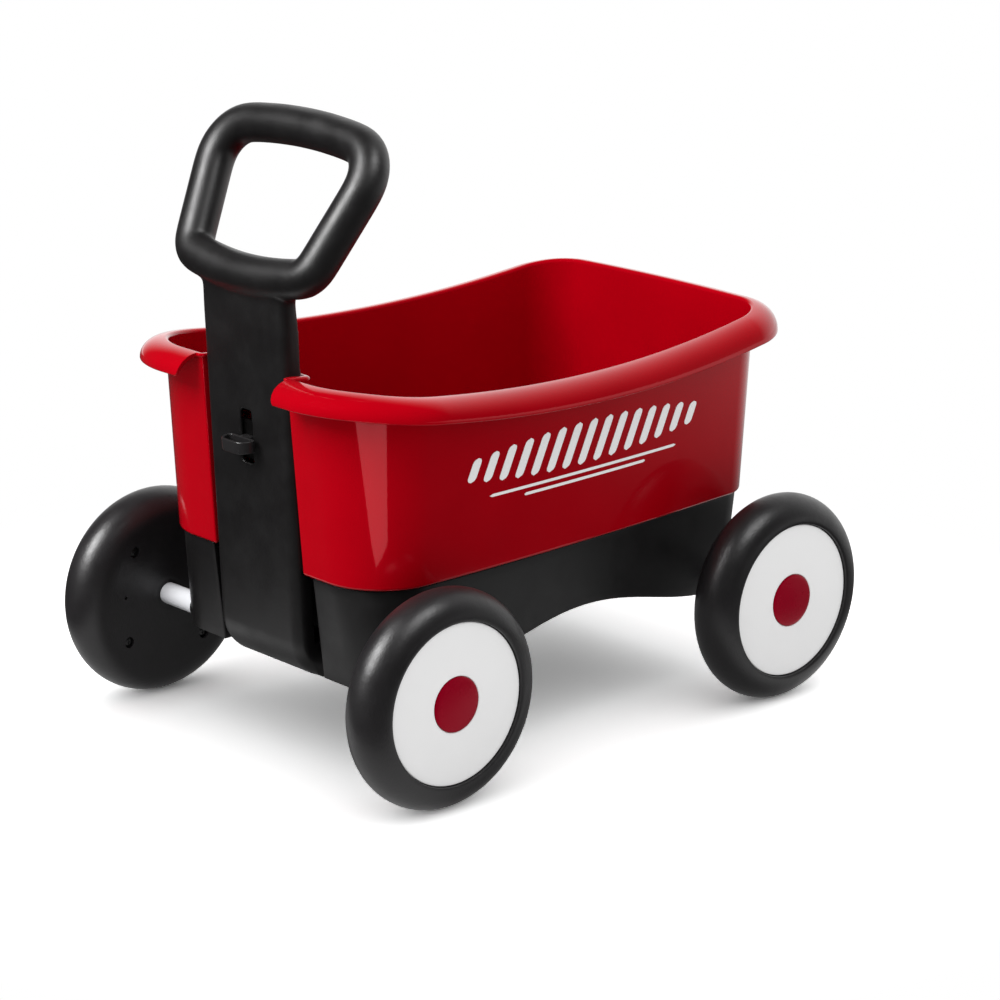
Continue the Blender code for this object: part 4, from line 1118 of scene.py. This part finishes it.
def make_materials():
    black = {"mottle": 0.14, "scuff": 0.18}
    white = {"scuff": 0.20, "wear": 0.0}
    return {
        "red": plastic("tub_red", (0.30, 0.0, 0.004), 0.10, 0.0011, 0.000006, coat=0.22,
                       mottle=0.04, scuff=0.30, wear=0.10, peel=0.000012,
                       tint=(1.0, 0.02, 0.05)),
        "black": plastic("frame_black", (0.0032, 0.0027, 0.0029), 0.43, 0.0007, 0.00003,
                         wear=0.05, **black),
        "black_fine": plastic("latch_black", (0.0120, 0.0112, 0.0116), 0.30, 0.0006, 0.00002,
                              wear=0.10, **black),
        # darker than the frame's black: painted shade, so the plate reads dark through the latch's
        # slot
        "black_dull_painted_shade": plastic("plate_black_painted_shade", (0.0016, 0.0014, 0.0014), 0.70, 0.0006, 0.00002,
                              wear=0.05, **black),
        "tyre": plastic("tyre_black", (0.0094, 0.0084, 0.0092), 0.38, 0.0013, 0.00011,
                        mottle=0.16, scuff=0.22, wear=0.05, peel=0.00008),
        "white": plastic("disc_white", (0.93, 0.93, 0.93), 0.42, 0.0008, 0.00002,
                         mottle=0.010, **white),
        "sleeve": plastic("sleeve_white", (0.52, 0.525, 0.545), 0.40, 0.0008, 0.00002,
                          mottle=0.02, **white),
        "cap": plastic("cap_red", (0.250, 0.0, 0.011), 0.30, 0.0007, 0.00001,
                       mottle=0.03, tint=(1.0, 0.0, 0.03), **white),
        "print": plastic("print_white", (0.84, 0.84, 0.84), 0.30, 0.0006, 0.000006,
                         mottle=0.015, scuff=0.25, wear=0.0),
        "steel": metal("axle_steel", (0.56, 0.56, 0.57), 0.30, (0.06, 1.0, 1.0)),
        "zinc": metal("screw_zinc", (0.60, 0.60, 0.58), 0.28),
        "dark_steel": metal("screw_black", (0.10, 0.10, 0.10), 0.34),
    }


# ---- stage, light and camera

def floor_material():
    """A plain pale floor, pure white away from the wagon. In glossy pieces it shows a painted
    reflection: painted shade under the wagon, a bright ring round it, dark further off and pale
    behind.
    """
    material, tree, shader = new_material("studio_floor")
    feed(tree, shader, {"Base Color": rgba(FLOOR_GREY), "Roughness": 0.9,
                        "Specular IOR Level": 0.0})
    place = node(tree, "NewGeometry", {}, "Position")
    away = node(tree, "VectorMath", {0: place}, "Value", operation="LENGTH")
    lit = node(tree, "BsdfDiffuse", {"Color": rgba(FLOOR_GAIN * FLOOR_GREY)})
    plain = mixed(tree, node(tree, "LightPath", {}, "Is Camera Ray"), shader.outputs[0], lit)
    white = node(tree, "Emission", {"Strength": 1.0})
    seen = mixed(tree, smooth_step(tree, away, FLOOR_WHITE), plain, white)

    # painted reflection: painted shade under the wagon and a bright ring round it
    near = ramp(tree, away, FLOOR_PAINTED_REFLECTION, "EASE")
    back = smooth_step(tree, node(tree, "SeparateXYZ", {"Vector": place}, "Y"), BACKDROP_EDGE,
                       high=BACKDROP_MIRRORED)
    mirrored = node(tree, "Emission", {"Strength": combined(tree, "ADD", near, back)})
    surface = mixed(tree, node(tree, "LightPath", {}, "Is Glossy Ray"), seen, mirrored)
    feed(tree, tree.nodes["Material Output"], {"Surface": surface})
    return material


def make_stage():
    bm = bmesh.new()
    bmesh.ops.create_grid(bm, x_segments=1, y_segments=1, size=12.0)
    floor = helper("floor", mesh_of(bm))
    floor.location = (0.0, 0.0, cad_bounds[0][2] - 0.0001)
    floor.data.materials.append(floor_material())
    return floor


def make_world():
    """White to the camera, a soft fill, and in reflections a dark room with a pale sweep.

    The sweep is behind the wagon; the dark side is where the camera stands.
    """
    world = bpy.data.worlds.new("studio")
    bpy.context.scene.world = world
    world.use_nodes = True
    tree = world.node_tree
    tree.nodes.clear()
    out = tree.nodes.new("ShaderNodeOutputWorld")
    facing = node(tree, "VectorMath", {0: node(tree, "TexCoord", {}, "Generated"),
                                       1: Vector(SWEEP_TOWARDS).normalized()},
                  "Value", operation="DOT_PRODUCT")
    sweep = smooth_step(tree, facing, SWEEP_EDGE, ROOM_MIRRORED, SWEEP_MIRRORED)
    fill, seen, mirrored = [node(tree, "Background", {"Color": rgba(1.0), "Strength": strength})
                            for strength in (FILL, 1.0, sweep)]
    unseen = mixed(tree, node(tree, "LightPath", {}, "Is Glossy Ray"), fill, mirrored)
    surface = mixed(tree, node(tree, "LightPath", {}, "Is Camera Ray"), unseen, seen)
    feed(tree, out, {"Surface": surface})


def aim(obj, place, target):
    """Places a light or camera and turns it to a target."""
    obj.location = place
    obj.rotation_euler = (target - place).to_track_quat("-Z", "Y").to_euler()


def area_light(name, place, target, size, energy):
    data = bpy.data.lights.new(name, "AREA")
    data.size = size
    data.energy = energy
    light = helper(name, data)
    aim(light, place, target)
    light.visible_camera = False
    return light


def pieces_of(name, *materials):
    """A collection of the pieces in the given materials, for lights that only they catch."""
    group = bpy.data.collections.new(name)
    wanted = {MATERIALS[material] for material in materials}
    for obj in bpy.context.scene.objects:
        if obj.type == "MESH" and wanted.intersection(obj.data.materials):
            group.objects.link(obj)
    return group


def make_card():
    """A white card, pointed at its foot, that shows only as a streak on the tub's corner."""
    centre = Vector(CARD_CENTRE)
    tub_corner = Vector((TUB_HI.x, TUB_LO.y, centre.z))
    across = (centre - tub_corner).cross(Vector((0.0, 0.0, -1.0))).normalized()
    bm = bmesh.new()
    corners = [centre + across * (u * CARD_SIZE[0]) + Vector((0.0, 0.0, v * CARD_SIZE[1]))
               for u, v in CARD_OUTLINE]
    bm.faces.new([bm.verts.new(corner) for corner in corners])
    card = helper("card", mesh_of(bm))
    material, tree, _ = new_material("card_white")
    glow = node(tree, "Emission", {"Strength": CARD_MIRRORED})
    feed(tree, tree.nodes["Material Output"], {"Surface": glow})
    card.data.materials.append(material)
    card.visible_camera = False
    card.visible_diffuse = False
    card.visible_shadow = False
    card.light_linking.receiver_collection = pieces_of("red_pieces", "red")


def make_lights(centre, floor):
    """A soft key that only lights the wagon, and softboxes that only show as highlights."""
    key = area_light("key", centre + Vector(KEY_FROM), centre, KEY_SIZE, KEY)
    key.visible_glossy = False
    unlit = bpy.data.collections.new("unlit_floor")
    unlit.objects.link(floor)
    unlit.collection_objects[0].light_linking.link_state = "EXCLUDE"
    key.light_linking.receiver_collection = unlit
    group = pieces_of("black_pieces", "black", "black_fine", "tyre")
    for name, towards, energy in HIGHLIGHTS:
        place = centre + Vector(towards).normalized() * HIGHLIGHT_AWAY
        box = area_light(name, place, centre, HIGHLIGHT_SIZE, energy)
        box.visible_diffuse = False
        box.light_linking.receiver_collection = group


def make_camera(centre):
    data = bpy.data.cameras.new("camera")
    data.lens = CAMERA_LENS
    camera = helper("camera", data)
    target = centre + Vector(CAMERA_TARGET)
    aim(camera, target + Vector(CAMERA_FROM), target)
    bpy.context.scene.camera = camera


def main():
    tub = make_tub()
    make_chassis()
    make_handle()
    make_knob()
    make_latch_plate()
    make_wheels()
    make_rods()
    make_screws()
    make_decoration(tub)
    for wheel, _ in WHEELS:
        retainer = frame["nodes"][f"{wheel}_retainer"]
        retainer.material_slots[0].material = MATERIALS["steel"]
    centre = (Vector(cad_bounds[0]) + Vector(cad_bounds[1])) / 2
    floor = make_stage()
    make_world()
    make_card()
    make_lights(centre, floor)
    make_camera(centre)
    bpy.context.scene.view_settings.view_transform = "Standard"


MATERIALS = make_materials()
main()
